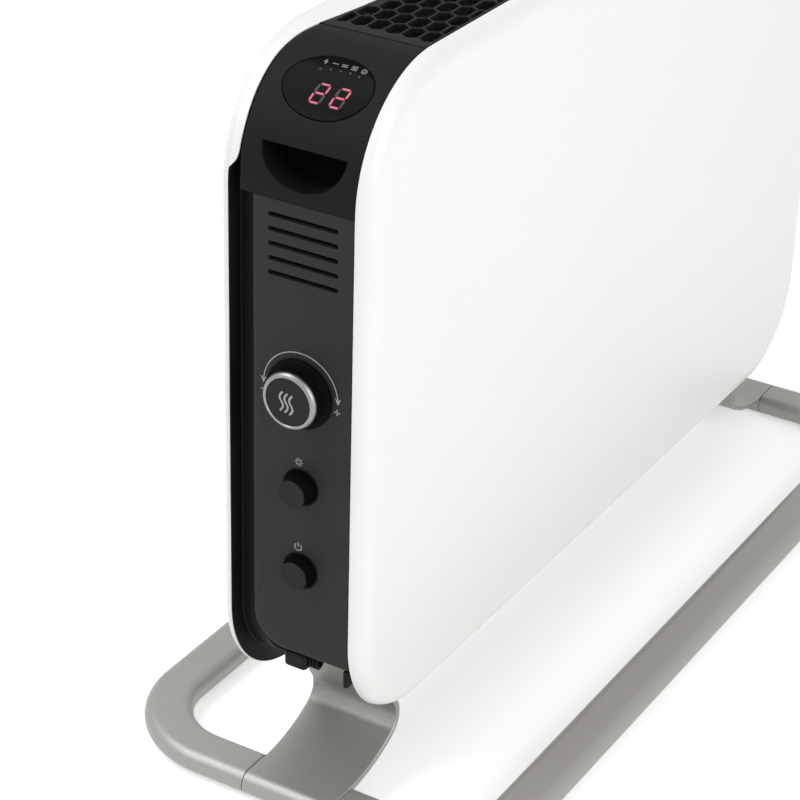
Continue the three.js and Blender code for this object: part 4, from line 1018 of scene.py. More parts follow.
@dataclass
class Shells:
    """The two pressed steel shells."""

    sheet: float = 1.2
    front_crown: float = 9.6
    front_edge: float = 13.0
    back_crown: float = 4.0
    back_edge: float = 5.0
    lip: float = 1.0
    edge_round: float = 0.5
    support: float = 12.0
    crown_steps: int = 14
    flat_steps: int = 48
    fold_steps: int = 60
    fold_round: float = 0.35
    least_fold: float = 0.4

    def pan(self, edge_y: float, lip: float, crown: float, edge: float, side: int) -> Blank:
        """One pressed pan, its rim at edge_y and its face towards side.

        Args:
            edge_y: Depth of the rim.
            lip: Straight stretch next to the rim.
            crown: How far the pan stands out.
            edge: Width of its rounded edge.
            side: -1 for the front, 1 for the back.

        Returns:
            The pan.
        """
        outer: list[Point] = []
        for i in range(self.crown_steps + 1):
            a = (i / self.crown_steps) * QUARTER
            outer.append((edge * (1 - math.cos(a)), lip + crown * math.sin(a)))
        outer.append((edge + self.support, lip + crown))
        inner = [(inset + self.sheet, reach - self.sheet * k / self.crown_steps)
                 for k, (inset, reach) in enumerate(outer[:-1])]
        inner.append((edge + self.support, lip + crown - self.sheet))
        r = self.edge_round
        rim = [(self.sheet, r), (self.sheet * 0.7, 0.0), (self.sheet * 0.3, 0.0), (0.0, r)]
        path = [*reversed(inner[1:]), *rim, *outer[1:]]
        stations = PLAN.outline()
        made = Blank()
        made.skin([[s.at(inset, edge_y + side * reach) for s in stations] for inset, reach in path])
        return made

    def flange(self) -> Blank:
        """The back shell's fold over the top, running out above the straight ends."""
        first = math.degrees(PLAN.shell_edge[0][0] / PLAN.top_radius)
        right = PLAN.corner(Side.RIGHT, True, first, 90, self.fold_steps)
        left = PLAN.corner(Side.LEFT, True, 90, 180 - first, self.fold_steps)
        flat = PLAN.half_length - PLAN.top_radius
        spots = [(s, PLAN.top_radius * min(s.angle, math.pi - s.angle)) for s in right]
        for i in range(1, self.flat_steps):
            x = flat * (1 - 2 * i / self.flat_steps)
            spots.append((Station(x, right[0].z, PLAN.top_radius, QUARTER),
                          PLAN.curve_length + flat - abs(x)))
        spots += [(s, PLAN.top_radius * (math.pi - s.angle)) for s in left]
        r, y1 = self.fold_round, PLAN.core_back - self.lip
        made = Blank()
        rings = []
        for s, distance in spots:
            y0 = min(PLAN.shell_front(distance), y1 - self.least_fold)
            section = [(0.0, y1), (0.0, y0 + r), (r * 0.3, y0 + r * 0.3), (r, y0),
                       (self.sheet - r, y0), (self.sheet, y0 + r), (self.sheet, y1)]
            rings.append([s.at(inset, min(y, y1)) for inset, y in section])
        made.skin(rings)
        return made

    def build(self) -> None:
        """Builds both shells."""
        front = self.pan(PLAN.core_front, 0.0, self.front_crown, self.front_edge, -1)
        front.build("front_shell_pressing", ENAMEL, Body.HEATER, ["front_shell"])
        back = self.pan(PLAN.core_back - self.lip, self.lip, self.back_crown, self.back_edge, 1)
        back.add(self.flange()).build("back_shell_pressing", ENAMEL, Body.HEATER, ["back_shell"])


@dataclass
class EndCap:
    """The moulded cap over an upper corner, with its finger grip."""

    side: Side
    wall: float = 2.6
    reach: float = 66.95
    grip_width: float = 52.5
    grip_height: float = 22.0
    grip_low: float = 392.4
    grip_depth: float = 25.0
    grip_wall: float = 1.6
    window: bool = False
    window_across: float = 27.0
    window_along: float = 19.8
    cut_every: float = 2.0
    roll: float = 2.6
    roll_drop: float = 2.2
    roll_from: float = 24.5
    roll_cut: float = 0.75
    roll_cuts: int = 21
    low_rear: float = 38.4
    shelter_from: float = 9.0
    shelter_length: float = 12.0
    notch_end: float = 24.0
    hole_edge: float = 0.3
    cup_fillet: float = 3.0
    cup_steps: int = 5
    round_steps: int = 48
    rear_steps: int = 60

    @property
    def end_distance(self) -> float:
        """How far up the curve the cap ends."""
        over = (self.reach - PLAN.top_radius) / PLAN.top_radius
        return PLAN.top_radius * (QUARTER + math.asin(over))

    def grip(self, grow: float) -> list[Point]:
        """The grip's outline: straight at the top, half an ellipse below.

        Args:
            grow: How far it grows.

        Returns:
            Its points as (height, depth).
        """
        top = self.grip_low + self.grip_height
        across, down = self.grip_width / 2 + grow, self.grip_height + grow
        turn = [math.pi * i / self.round_steps for i in range(self.round_steps + 1)]
        low = [(top - down * math.sin(a), PLAN.grip_y + across * math.cos(a)) for a in turn]
        return [(top + grow, PLAN.grip_y + across), *low, (top + grow, PLAN.grip_y - across)]

    def rear(self, distance: float) -> float:
        """Depth of the cap's rear edge, drawn in a little at its foot.

        Args:
            distance: How far up the curve.

        Returns:
            The depth.
        """
        shelter = min(max((distance - self.shelter_from) / self.shelter_length, 0.0), 1.0)
        beside = PLAN.shell_front(max(distance, self.notch_end)) - PLAN.gap
        return self.low_rear + (beside - self.low_rear) * shelter

    def outline(self, grow: float) -> list[Point]:
        """The wall's outline, its rear edge beside the back shell's.

        Args:
            grow: How far it grows.

        Returns:
            Its points as (distance up the curve, depth).
        """
        low, high = PLAN.gap / 3 - grow, self.end_distance + grow
        front = PLAN.panel_front - grow
        made = [(low, front), (high, front)]
        for i in range(self.rear_steps + 1):
            distance = high + (low - high) * i / self.rear_steps
            made.append((distance, self.rear(distance) + grow))
        return made

    def rolled(self, p: Vector) -> Vector:
        """Drops a point of the wall where the rear edge rolls down to the back shell."""
        reach = self.rear(p.x) - p.y
        return Vector((p.x, p.y, p.z - quarter_drop(reach, self.roll, self.roll_drop)))

    def band(self) -> Blank:
        """The curved wall with its holes."""
        grip = mapped(self.grip, lambda p: (PLAN.up_curve(p[0]), p[1]))
        holes = [grip]
        if self.window:
            holes.append(
                oval(PLAN.window_distance, PLAN.grip_y, self.window_along, self.window_across, 96)
            )
        plate = punched_plate(self.outline, holes, self.wall, self.hole_edge)
        cuts = int(self.end_distance / self.cut_every)
        fine = plate.cut(Vector((1, 0, 0)), [self.cut_every * i for i in range(1, cuts + 1)])
        roll = [self.roll_from + self.roll_cut * i for i in range(self.roll_cuts)]
        fine = fine.cut(Vector((0, 1, 0)), roll)
        place = PLAN.on_curve(self.side)
        return fine.moved(lambda p: place(self.rolled(p)))

    def pocket(self) -> Blank:
        """The grip's cup behind the wall."""
        seat = [
            PLAN.on_curve(self.side)(Vector((PLAN.up_curve(z), y, -self.wall / 2)))
            for z, y in self.grip(0.0)
        ]
        back = self.side.value * (PLAN.half_length - self.grip_depth)
        fillet = self.cup_fillet
        rings = [seat]
        for i in range(self.cup_steps + 1):
            a = (i / self.cup_steps) * QUARTER
            x = back + self.side.value * fillet * (1 - math.sin(a))
            ring = self.grip(-fillet * (1 - math.cos(a)))
            rings.append([Vector((x, y, z)) for z, y in ring])
        wall = self.grip_wall
        outer = [[Vector((back - self.side.value * wall, y, z)) for z, y in self.grip(wall * 0.5)]]
        rim = self.grip(wall)
        outer.append([Vector((p.x, y, z)) for p, (z, y) in zip(seat, rim)])
        made = Blank()
        made.skin([*reversed(rings), *reversed(outer)])
        return made

    def build(self) -> None:
        """Builds the cap."""
        name = f"{self.side.word}_end_cap"
        self.band().build(f"{name}_moulding", FINE_ABS, Body.HEATER, [name], sharp=40)
        # The cup's darker finish is painted shade inside the grip.
        self.pocket().build(f"{self.side.word}_finger_cup_moulding", CUP_PAINTED_SHADE_ABS, Body.HEATER,
                            sharp=40)


@dataclass
class Display:
    """The smoked window in the left cap with its digits and small icons."""

    across: float = 26.7
    along: float = 19.5
    thickness: float = 1.4
    edge: float = 0.45
    digit_height: float = 11.2
    digit_width: float = 6.4
    stroke: float = 1.4
    slant: float = 0.21
    digit_low: float = 54.8
    digit_starts: Point = (8.0, -4.4)
    lit_bars: str = "abged"
    bar_gap: float = 0.25
    core_width: float = 0.17
    core_inset: float = 0.16
    icon_distance: float = 79.8
    icon_line: float = 0.55
    level_half: float = 1.8
    lamp_half: float = 0.6
    sink: float = 0.12
    lift: float = 0.05

    def glass(self) -> Blank:
        """The oval window, flush with the cap."""
        plate = punched_plate(
            oval(PLAN.window_distance, PLAN.grip_y, self.along, self.across, 96), [],
            self.thickness, self.edge,
        )
        low = PLAN.window_distance - self.along
        cuts = [low + i for i in range(1, int(2 * self.along))]
        return plate.cut(Vector((1, 0, 0)), cuts).moved(self.sunk)

    def sunk(self, p: Vector) -> Vector:
        """Places a point of the window a hair below the cap's surface."""
        return PLAN.on_curve(Side.LEFT)(Vector((p.x, p.y, p.z - self.sink)))

    def segment(self, low: Point, high: Point) -> list[Point]:
        """One bar of a digit, with pointed ends.

        Args:
            low: The corner it starts from.
            high: The corner it runs to.

        Returns:
            Its outline.
        """
        a, b = Vector(low), Vector(high)
        along = (b - a).normalized()
        across = Vector((-along.y, along.x)) * (self.stroke / 2)
        tip = along * (self.stroke / 2)
        a, b = a + along * self.bar_gap, b - along * self.bar_gap
        return [tuple(p) for p in (a, a + tip + across, b - tip + across, b, b - tip - across,
                                   a + tip - across)]

    def core(self, patch: Sequence[Point]) -> list[Point]:
        """The bright line along the middle of a lit bar.

        Args:
            patch: The bar's outline.

        Returns:
            The line's outline.
        """
        a, b = Vector(patch[0]), Vector(patch[3])
        across = (Vector(patch[1]) - Vector(patch[5])) * self.core_width
        inset = (b - a) * self.core_inset
        return [tuple(p) for p in (a + inset + across, b - inset + across, b - inset - across,
                                   a + inset - across)]

    def digit(self, start: float, lit: str) -> tuple[list[list[Point]], list[list[Point]]]:
        """The lit and unlit bars of one digit.

        Args:
            start: Depth of the digit's first lower corner.
            lit: The lit bars, by their usual letters.

        Returns:
            Patches of the lit bars and of the others.
        """
        h, w = self.digit_height / 2, self.digit_width

        def spot(column: int, row: int) -> Point:
            """A corner of the digit's slanted grid."""
            rise = row * h
            return (self.digit_low + rise, start - column * w - rise * self.slant)

        bars = {
            "a": (spot(0, 2), spot(1, 2)), "b": (spot(1, 1), spot(1, 2)),
            "c": (spot(1, 0), spot(1, 1)), "d": (spot(0, 0), spot(1, 0)),
            "e": (spot(0, 0), spot(0, 1)), "f": (spot(0, 1), spot(0, 2)),
            "g": (spot(0, 1), spot(1, 1)),
        }
        on = [self.segment(*bars[k]) for k in bars if k in lit]
        off = [self.segment(*bars[k]) for k in bars if k not in lit]
        return on, off

    def icons(self) -> list[list[Point]]:
        """The row of small icons: bolt, three power levels and a snowflake."""
        s = self.icon_distance
        bolt = [(s + 1.9, 9.6), (s - 0.2, 11.4), (s - 0.1, 10.2), (s - 2.0, 9.8), (s + 0.3, 8.6),
                (s + 0.1, 9.5)]
        made = [bolt]
        for y, rows in ((4.0, 1), (-1.6, 2), (-7.6, 3)):
            for k in range(rows):
                v = s + 0.9 * (k - (rows - 1) / 2) * 1.25
                ends = [(v, y + self.level_half), (v, y - self.level_half)]
                made += ribbon(ends, self.icon_line)
        made += snowflake(s - 0.6, -13.8, 1.9, 0.5)
        return made

    def lamps(self) -> list[list[Point]]:
        """The five small lamps below the icons."""
        spots = [(74.4, 10.4), (75.6, 4.7), (76.0, -1.2), (76.0, -7.0), (75.2, -12.8)]
        h = self.lamp_half
        return [[(s - h, y - h), (s + h, y - h), (s + h, y + h), (s - h, y + h)] for s, y in spots]

    def build(self) -> None:
        """Builds the window and what shines through it."""
        self.glass().build("display_glass", SMOKED_PC, Body.HEATER, ["display_window"])
        lit: list[list[Point]] = []
        unlit = self.lamps()
        for start in self.digit_starts:
            on, off = self.digit(start, self.lit_bars)
            lit += on
            unlit += off
        cores = [self.core(patch) for patch in lit]
        for name, patches, thickness, finish in (
            ("display_digits", lit, self.lift, LIT),
            ("display_digit_cores", cores, self.lift * 1.4, HOT),
            ("display_unlit_bars", unlit, self.lift * 0.8, UNLIT),
            ("display_icons", self.icons(), self.lift, FAINT_ICON),
        ):
            inlay(patches, thickness).moved(self.sunk).build(name, finish, Body.HEATER)


@dataclass
class ControlPlaces:
    """Where the controls sit on the left panel."""

    knob_y: float = -0.35
    knob_z: float = 274.95
    frost_z: float = 216.75
    power_z: float = 162.75
    knob_base: float = 0.3


PLACES = ControlPlaces()


@dataclass
class EndPanel:
    """The flat moulded panel in an end: a face with rounded edges and walls behind it."""

    side: Side
    controls: bool = False
    wall: float = 2.4
    depth: float = 20.0
    edge: float = 4.2
    rim: float = 4.8
    front_share: float = 0.12
    corner: float = 22.0
    small_corner: float = 0.9
    corner_steps: int = 12
    edge_steps: int = 10
    louvre_depth: float = 5.5
    louvre_margin: float = 1.0
    louvre_side: float = 3.0
    shaft_hole: float = 3.3
    hole_edge: float = 0.3
    slot_count: int = 5
    slot_pitch: float = 8.45
    slot_length: float = 44.0
    slot_height: float = 2.8
    slot_drop: float = 9.6
    hole: float = 9.7
    collar_width: float = 1.6
    collar_height: float = 0.8

    def outline(self, grow: float) -> list[Point]:
        """The panel's outline, grown mostly at its rear and its foot.

        Args:
            grow: How far it grows there.

        Returns:
            Its points as (depth, height).
        """
        small = grow * self.front_share
        loop = rounded_rect(
            PLAN.panel_front - small, PLAN.panel_back + grow, PLAN.base_bottom - grow,
            PLAN.corner_z - PLAN.gap / 3 + small,
            [self.small_corner, self.corner + grow, self.small_corner, self.small_corner],
            self.corner_steps,
        )
        return loop(0.0)

    def holes(self) -> list[Loop]:
        """Slots and control holes."""
        if not self.controls:
            return []
        made = [
            slot_loop(
                PLAN.control_y, PLAN.corner_z - self.slot_drop - i * self.slot_pitch,
                self.slot_length, self.slot_height,
            )
            for i in range(self.slot_count)
        ]
        made += [oval(PLAN.control_y, z, self.hole, self.hole, 72)
                 for z in (PLACES.frost_z, PLACES.power_z)]
        return [*made, oval(PLACES.knob_y, PLACES.knob_z, self.shaft_hole, self.shaft_hole, 32)]

    def face(self) -> Blank:
        """The face inside its rounded border."""
        inner = self.edge + self.rim
        return punched_plate(
            lambda grow: self.outline(-inner), self.holes(), self.wall, self.hole_edge)

    def louvres(self) -> Blank:
        """The block behind the vent slots that hides the inside."""
        top = PLAN.corner_z - self.slot_drop + self.slot_pitch / 2 + self.louvre_margin
        low = top - self.slot_count * self.slot_pitch - 2 * self.louvre_margin
        half = self.slot_length / 2 + self.louvre_side
        block = rounded_rect(PLAN.control_y - half, PLAN.control_y + half, low, top, [1.0] * 4)
        slots = self.holes()[: self.slot_count]
        plate = punched_plate(block, slots, self.louvre_depth, 0.05, 1)
        return plate.moved(lambda p: p - Vector((0, 0, self.wall)))

    def border(self) -> Blank:
        """The rounded border and the walls behind it."""
        rings = [(self.edge + self.rim * share, 0.0) for share in (1.0, 0.5, 0.1)]
        for i in range(self.edge_steps + 1):
            a = (i / self.edge_steps) * QUARTER
            rings.append((self.edge * (1 - math.sin(a)), -self.edge * (1 - math.cos(a))))
        rings += [(0.0, -self.depth), (self.wall, -self.depth), (self.wall, -2 * self.wall),
                  (self.edge + self.rim, -self.wall)]
        made = Blank()
        made.skin([[Vector((u, v, h)) for u, v in self.outline(-inset)] for inset, h in rings],
                  capped=False)
        return made

    def collar(self, z: float) -> Blank:
        """The raised ring round a button.

        Args:
            z: The button's height.

        Returns:
            The ring, with points (depth, height, height off the face).
        """
        r0, r1 = self.hole, self.hole + self.collar_width
        h = self.collar_height
        profile = rounded([(r0, -self.wall, 0), (r0, h, 0.3), (r1, h, 0.4), (r1, -0.5, 0),
                           (r0, -self.wall, 0)])
        ring = turned(profile, 80)
        return ring.moved(lambda p: Vector((p.x + PLAN.control_y, p.y + z, p.z)))

    def build(self) -> None:
        """Builds the panel."""
        made = self.face().add(self.border())
        if self.controls:
            made.add(self.louvres())
        node = "control_panel" if self.controls else "right_end_panel"
        placed = made.moved(PLAN.on_face(self.side))
        placed.build(f"{node}_moulding", GRAINED_ABS, Body.HEATER, [node])
        if self.controls:
            # The collars take the darkest finish, painted shade round the buttons.
            collars = self.collar(PLACES.frost_z).add(self.collar(PLACES.power_z))
            collars.moved(PLAN.on_face(self.side)).build(
                "button_collars_moulding", PAINTED_SHADE_ABS, Body.HEATER)


@dataclass
class PanelPrint:
    """The printed marks on the control panel."""

    dial_y: float = -0.6
    dial_z: float = 275.3
    ring_radius: float = 23.9
    ring_start: float = 7.0
    ring_end: float = 173.0
    line: float = 0.62
    arrow_size: float = 3.0
    arrow_drop: float = 0.6
    power_y: float = 0.35
    power_z: float = 177.6
    power_radius: float = 2.2
    power_line: float = 0.55
    frost_y: float = 0.15
    frost_z: float = 232.1
    frost_radius: float = 2.7
    frost_line: float = 0.5
    lift: float = 0.04

    def arrow(self, u: float, v: float, size: float) -> list[Point]:
        """A downward arrowhead.

        Args:
            u: Its tip's depth.
            v: Its tip's height.
            size: Its scale: it is 1.24 sizes wide and 1.35 sizes high.

        Returns:
            Its outline.
        """
        return [(u, v), (u + size * 0.62, v + size * 1.35), (u, v + size * 1.05),
                (u - size * 0.62, v + size * 1.35)]

    def dial(self) -> list[list[Point]]:
        """The arc over the knob with its arrowheads, a minus and a plus."""
        y, z, r = self.dial_y, self.dial_z, self.ring_radius
        made = ribbon(arc(y, z, r, self.ring_start, self.ring_end, 72), self.line)
        made += [self.arrow(u, z - self.arrow_drop, self.arrow_size) for u in (y - r, y + r)]
        made += ribbon([(25.0, 270.9), (21.8, 270.9)], 0.7)
        made += ribbon([(-22.2, 270.2), (-26.0, 270.2)], 0.8)
        made += ribbon([(-24.1, 272.1), (-24.1, 268.3)], 0.8)
        return made

    def power(self) -> list[list[Point]]:
        """The power symbol: a broken ring and a stroke."""
        y, z, line = self.power_y, self.power_z, self.power_line
        made = ribbon(arc(y, z, self.power_radius, 125, 415, 40), line)
        return made + ribbon([(y, z + 0.2), (y, z + 2.9)], line)

    def build(self) -> None:
        """Builds the print."""
        frost = snowflake(self.frost_y, self.frost_z, self.frost_radius, self.frost_line)
        marks = self.dial() + self.power() + frost
        made = inlay(marks, self.lift).moved(PLAN.on_face(Side.LEFT))
        made.build("panel_print", INK, Body.HEATER)


@dataclass
class RearFrame:
    """The black frame behind an end panel: web, channel and the gusset behind the low corner."""

    side: Side
    inset: float = 0.45
    web_y: float = 44.9
    channel: float = 11.0
    fillet: float = 1.1
    floor_front: float = 32.2
    wall: float = 2.2
    low_angle: float = -88.0
    up_angle: float = 34.0
    shelter: float = 1.5
    shelter_angle: float = 8.0
    fillet_steps: int = 5
    gusset: float = 26.0
    gusset_x: float = 288.6
    gusset_lap: float = 0.8
    gusset_rise: float = 0.6
    gusset_edge: float = 0.4

    def stations(self) -> list[Station]:
        """Stations from under the heater up beneath the end cap."""
        low = PLAN.corner(Side.RIGHT, False, self.low_angle, 0, 40)
        high = PLAN.corner(Side.RIGHT, True, 0, self.up_angle, 20)
        return [*low, *high]

    def section(self, station: Station) -> list[Vector]:
        """The frame's section: web, fillet and the channel's floor.

        Args:
            station: The place on the body's outline.

        Returns:
            The section's points.
        """
        upper = station.radius == PLAN.top_radius
        tucked = upper and station.angle > math.radians(self.shelter_angle)
        start = self.inset + (self.shelter if tucked else 0.0)
        r, c = self.fillet, self.channel
        points = [(start, self.web_y + 0.3), (start + 0.25, self.web_y), (c - r, self.web_y)]
        for i in range(1, self.fillet_steps + 1):
            a = (i / self.fillet_steps) * QUARTER
            points.append((c - r * (1 - math.sin(a)), self.web_y - r * (1 - math.cos(a))))
        points += [(c, self.floor_front + 0.3), (c + 0.3, self.floor_front),
                   (c + self.wall, self.floor_front), (c + self.wall, self.web_y + 0.3)]
        return [station.at(inset, y) for inset, y in points]

    def build(self) -> None:
        """Builds the frame."""
        made = Blank()
        made.skin([self.section(s) for s in self.stations()])
        size = Vector((self.wall, self.gusset, self.gusset))
        middle = Vector((self.gusset_x, self.floor_front + self.gusset_lap - size.y / 2,
                         PLAN.base_bottom + self.gusset_rise + size.z / 2))
        made.add(pillow_box(size, middle, self.gusset_edge))
        placed = made.moved(lambda p: Vector((self.side.value * p.x, p.y, p.z)))
        name = f"{self.side.word}_rear_frame"
        placed.build(f"{name}_moulding", SMOOTH_ABS, Body.HEATER, [name])


@dataclass
class OutletGrille:
    """The honeycomb along the top."""

    pitch_x: float = 14.5
    pitch_y: float = 10.65
    rib: float = 1.5
    border: float = 1.6
    depth: float = 3.6
    edge: float = 0.25
    least: float = 2.5
    half_length: float = 232.7
    shell_gap: float = 0.5
    rear_steps: int = 96

    def cell(self, x: float, y: float, y_low: float, y_high: float) -> Loop:
        """One gap, long in x, clipped to the border.

        Args:
            x: Its middle along the heater.
            y: Its middle's depth.
            y_low: Depth of the front border's edge.
            y_high: Depth of the rear border's edge.

        Returns:
            Its outline, as a loop that can grow.
        """
        slant = math.tan(math.pi / 6)
        half = (self.pitch_y - self.rib) / 2
        flat = (self.pitch_x - self.pitch_y / 2 * slant - self.rib * slant) / 2

        def points(grow: float) -> list[Point]:
            """The grown gap."""
            wide = half + grow
            base = flat + grow * slant
            low, high = max(y - wide, y_low - grow), min(y + wide, y_high + grow)
            levels = [low, y, high] if low < y < high else [low, high]
            reach = [base + slant * (wide - abs(v - y)) for v in levels]
            right = [(x + r, v) for v, r in zip(levels, reach)]
            left = [(x - r, v) for v, r in zip(levels, reach)]
            return right + left[::-1]

        return points

    def rear(self, x: float) -> float:
        """Depth of the grille's rear edge, beside the back shell's."""
        return PLAN.shell_front_over(x) - self.shell_gap

    def outline(self, grow: float) -> list[Point]:
        """The grille's outline, its rear edge beside the back shell's.

        Args:
            grow: How far it grows.

        Returns:
            Its points as (x, depth).
        """
        reach = self.half_length + grow
        made = [(-reach, PLAN.panel_front - grow), (reach, PLAN.panel_front - grow)]
        for i in range(self.rear_steps + 1):
            x = reach * (1 - 2 * i / self.rear_steps)
            made.append((x, self.rear(x) + grow))
        return made

    def build(self) -> None:
        """Builds the grille."""
        front = PLAN.panel_front
        y_low = front + self.border
        tip = self.pitch_y / 2 * math.tan(math.pi / 6)
        columns = int((self.half_length - self.border - self.pitch_x / 2 - tip) / self.pitch_x)
        half = (self.pitch_y - self.rib) / 2
        holes = []
        for column in range(-columns, columns + 1):
            y = front + (self.pitch_y / 2 if column % 2 else 0.0)
            y_high = self.rear(abs(column) * self.pitch_x - self.pitch_x / 2) - self.border
            while y < y_high:
                if min(y + half, y_high) - max(y - half, y_low) > self.least:
                    holes.append(self.cell(column * self.pitch_x, y, y_low, y_high))
                y += self.pitch_y
        plate = punched_plate(self.outline, holes, self.depth, self.edge, 2)
        placed = plate.moved(lambda p: p + Vector((0, 0, PLAN.top)))
        placed.build("top_grille_moulding", FINE_ABS, Body.HEATER, ["top_grille"], sharp=50)


def turned_control(profile: Sequence[Point], middle: Point, base: float, steps: int = 96) -> Blank:
    """A turned piece on the control panel.

    Args:
        profile: Its points as (radius, height).
        middle: Its axis as (depth, height).
        base: How far off the panel's face its base line lies.
        steps: Steps round the axis.

    Returns:
        The piece in its place.
    """
    piece = turned(profile, steps)
    place = PLAN.on_face(Side.LEFT)
    return piece.moved(lambda p: place(Vector((p.x + middle[0], p.y + middle[1], p.z + base))))


@dataclass
class Knob:
    """The thermostat knob: skirted body, bright ring and dark face with heat waves."""

    radius: float = 17.0
    skirt: float = 20.6
    skirt_height: float = 2.6
    height: float = 12.2
    ring_depth: float = 3.0
    face_radius: float = 14.05
    face_depth: float = 1.6
    shaft: float = 3.0
    shaft_length: float = 12.0
    seat_gap: float = 0.3
    wave_start: Point = (4.0, -0.25)
    wave_step: Point = (3.05, 0.55)
    wave_sway: float = 1.25
    wave_turns: float = 1.12
    wave_lean: float = 0.35
    wave_reach: float = 5.9
    wave_line: float = 1.15
    wave_steps: int = 36
    print_lift: float = 0.05

    def body(self) -> list[Point]:
        """The body's profile from its shaft to the ring's seat."""
        top = self.height - self.ring_depth - self.seat_gap
        seat = self.height - self.face_depth - self.seat_gap
        return rounded([
            (0, -self.shaft_length, 0), (self.shaft, -self.shaft_length, 0.4), (self.shaft, 0, 0),
            (self.skirt, 0, 0.3), (self.skirt, self.skirt_height - 0.8, 0.3),
            (self.skirt - 1.0, self.skirt_height, 0.35),
            (self.radius + 0.5, self.skirt_height + 0.5, 0.4),
            (self.radius - 0.1, top, 0.2), (self.face_radius, top, 0),
            (self.face_radius, seat, 0), (0, seat, 0),
        ])

    def ring(self) -> list[Point]:
        """The ring's profile: a half-round band that slopes outwards."""
        low = self.height - self.ring_depth
        inner = self.face_radius + 0.1
        made = [(inner, low), (self.radius - 0.15, low)]
        for i in range(15):
            a = (i / 14) * QUARTER
            made.append((inner + 0.25 + (self.radius - inner - 0.4) * math.cos(a),
                         low + 0.3 + (self.ring_depth - 0.3) * math.sin(a)))
        return [*made, (inner, self.height - 0.3), (inner, low)]

    def waves(self) -> list[list[Point]]:
        """Three rising waves for the knob's face."""
        made = []
        for k in range(3):
            y0 = PLACES.knob_y + self.wave_start[0] - self.wave_step[0] * k
            z0 = PLACES.knob_z + self.wave_start[1] - self.wave_step[1] * k
            line = []
            for i in range(self.wave_steps + 1):
                t = i / self.wave_steps * 2 - 1
                sway = self.wave_sway * math.sin(t * math.pi * self.wave_turns)
                line.append((y0 + sway - self.wave_lean * t, z0 + self.wave_reach * t))
            made += ribbon(line, self.wave_line)
        return made

    def build(self) -> None:
        """Builds the knob."""
        middle, base = (PLACES.knob_y, PLACES.knob_z), PLACES.knob_base
        # The knob's body takes the darkest finish, painted shade on its sides.
        turned_control(self.body(), middle, base).build(
            "knob_body_moulding", PAINTED_SHADE_ABS, Body.KNOB, ["knob_body"])
        plating = TurnedPlating(
            "turned_bright_plating", "bright_ring", "929291", 0.38, metallic=1.0, grain_mm=1.5,
            grain_lift_mm=0.002, gloss_spread=0.06, axis_mm=(-300.0, *middle))
        turned_control(self.ring(), middle, base, 128).build(
            "knob_ring_plated", plating, Body.KNOB, ["knob_ring"])
        low, top = self.height - self.face_depth, self.height - self.seat_gap
        face = rounded([(0, low, 0), (self.face_radius, low, 0), (self.face_radius, top, 0.3),
                        (0, top, 0)])
        turned_control(face, middle, base).build(
            "knob_face", FACE_ABS, Body.KNOB, ["knob_insert"])
        place = PLAN.on_face(Side.LEFT)
        marks = inlay(self.waves(), self.print_lift)
        lifted = marks.moved(lambda p: place(p + Vector((0, 0, base + top))))
        lifted.build("knob_face_print", INK, Body.KNOB)


@dataclass
class PushButton:
    """A round push button with a soft edge and a slightly hollow face.

    Its travel is its joint's stroke: the wide foot of its side reaches that far up, so that the
    foot still fills the collar when the button stands out.
    """

    name: str
    body: Body
    z: float
    out: float
    radius: float = 8.6
    base_radius: float = 9.4
    height: float = 10.4
    travel: float = 2.4
    face_depth: float = 0.6
    root: float = 3.0
    stem: float = 9.0
    shaft: float = 3.0
    seat_gap: float = 0.02
    dish: float = 2.4
    dish_depth: float = 0.25

    def build(self) -> None:
        """Builds the button."""
        middle, base = (PLAN.control_y, self.z), self.out - self.height
        seat = self.height - self.face_depth
        side = rounded([
            (0, -self.root - self.stem, 0), (self.shaft, -self.root - self.stem, 0.4),
            (self.shaft, -self.root, 0), (self.base_radius, -self.root, 0.4),
            (self.base_radius, self.travel, 0.4), (self.radius, seat, 0),
            (self.radius - 0.6, seat, 0), (0, seat, 0),
        ])
        # The side takes the darkest finish, painted shade; the face stays a little greyer.
        turned_control(side, middle, base, 80).build(
            f"{self.name}_moulding", PAINTED_SHADE_ABS, self.body, [self.name])
        face = rounded([
            (0, seat + self.seat_gap, 0), (self.radius, seat + self.seat_gap, 0),
            (self.radius, self.height, 0.45), (self.radius - self.dish, self.height, 0.8),
            (0, self.height - self.dish_depth, 0),
        ])
        turned_control(face, middle, base, 80).build(f"{self.name}_face", FACE_ABS, self.body)


# ---------- stand and underside ----------


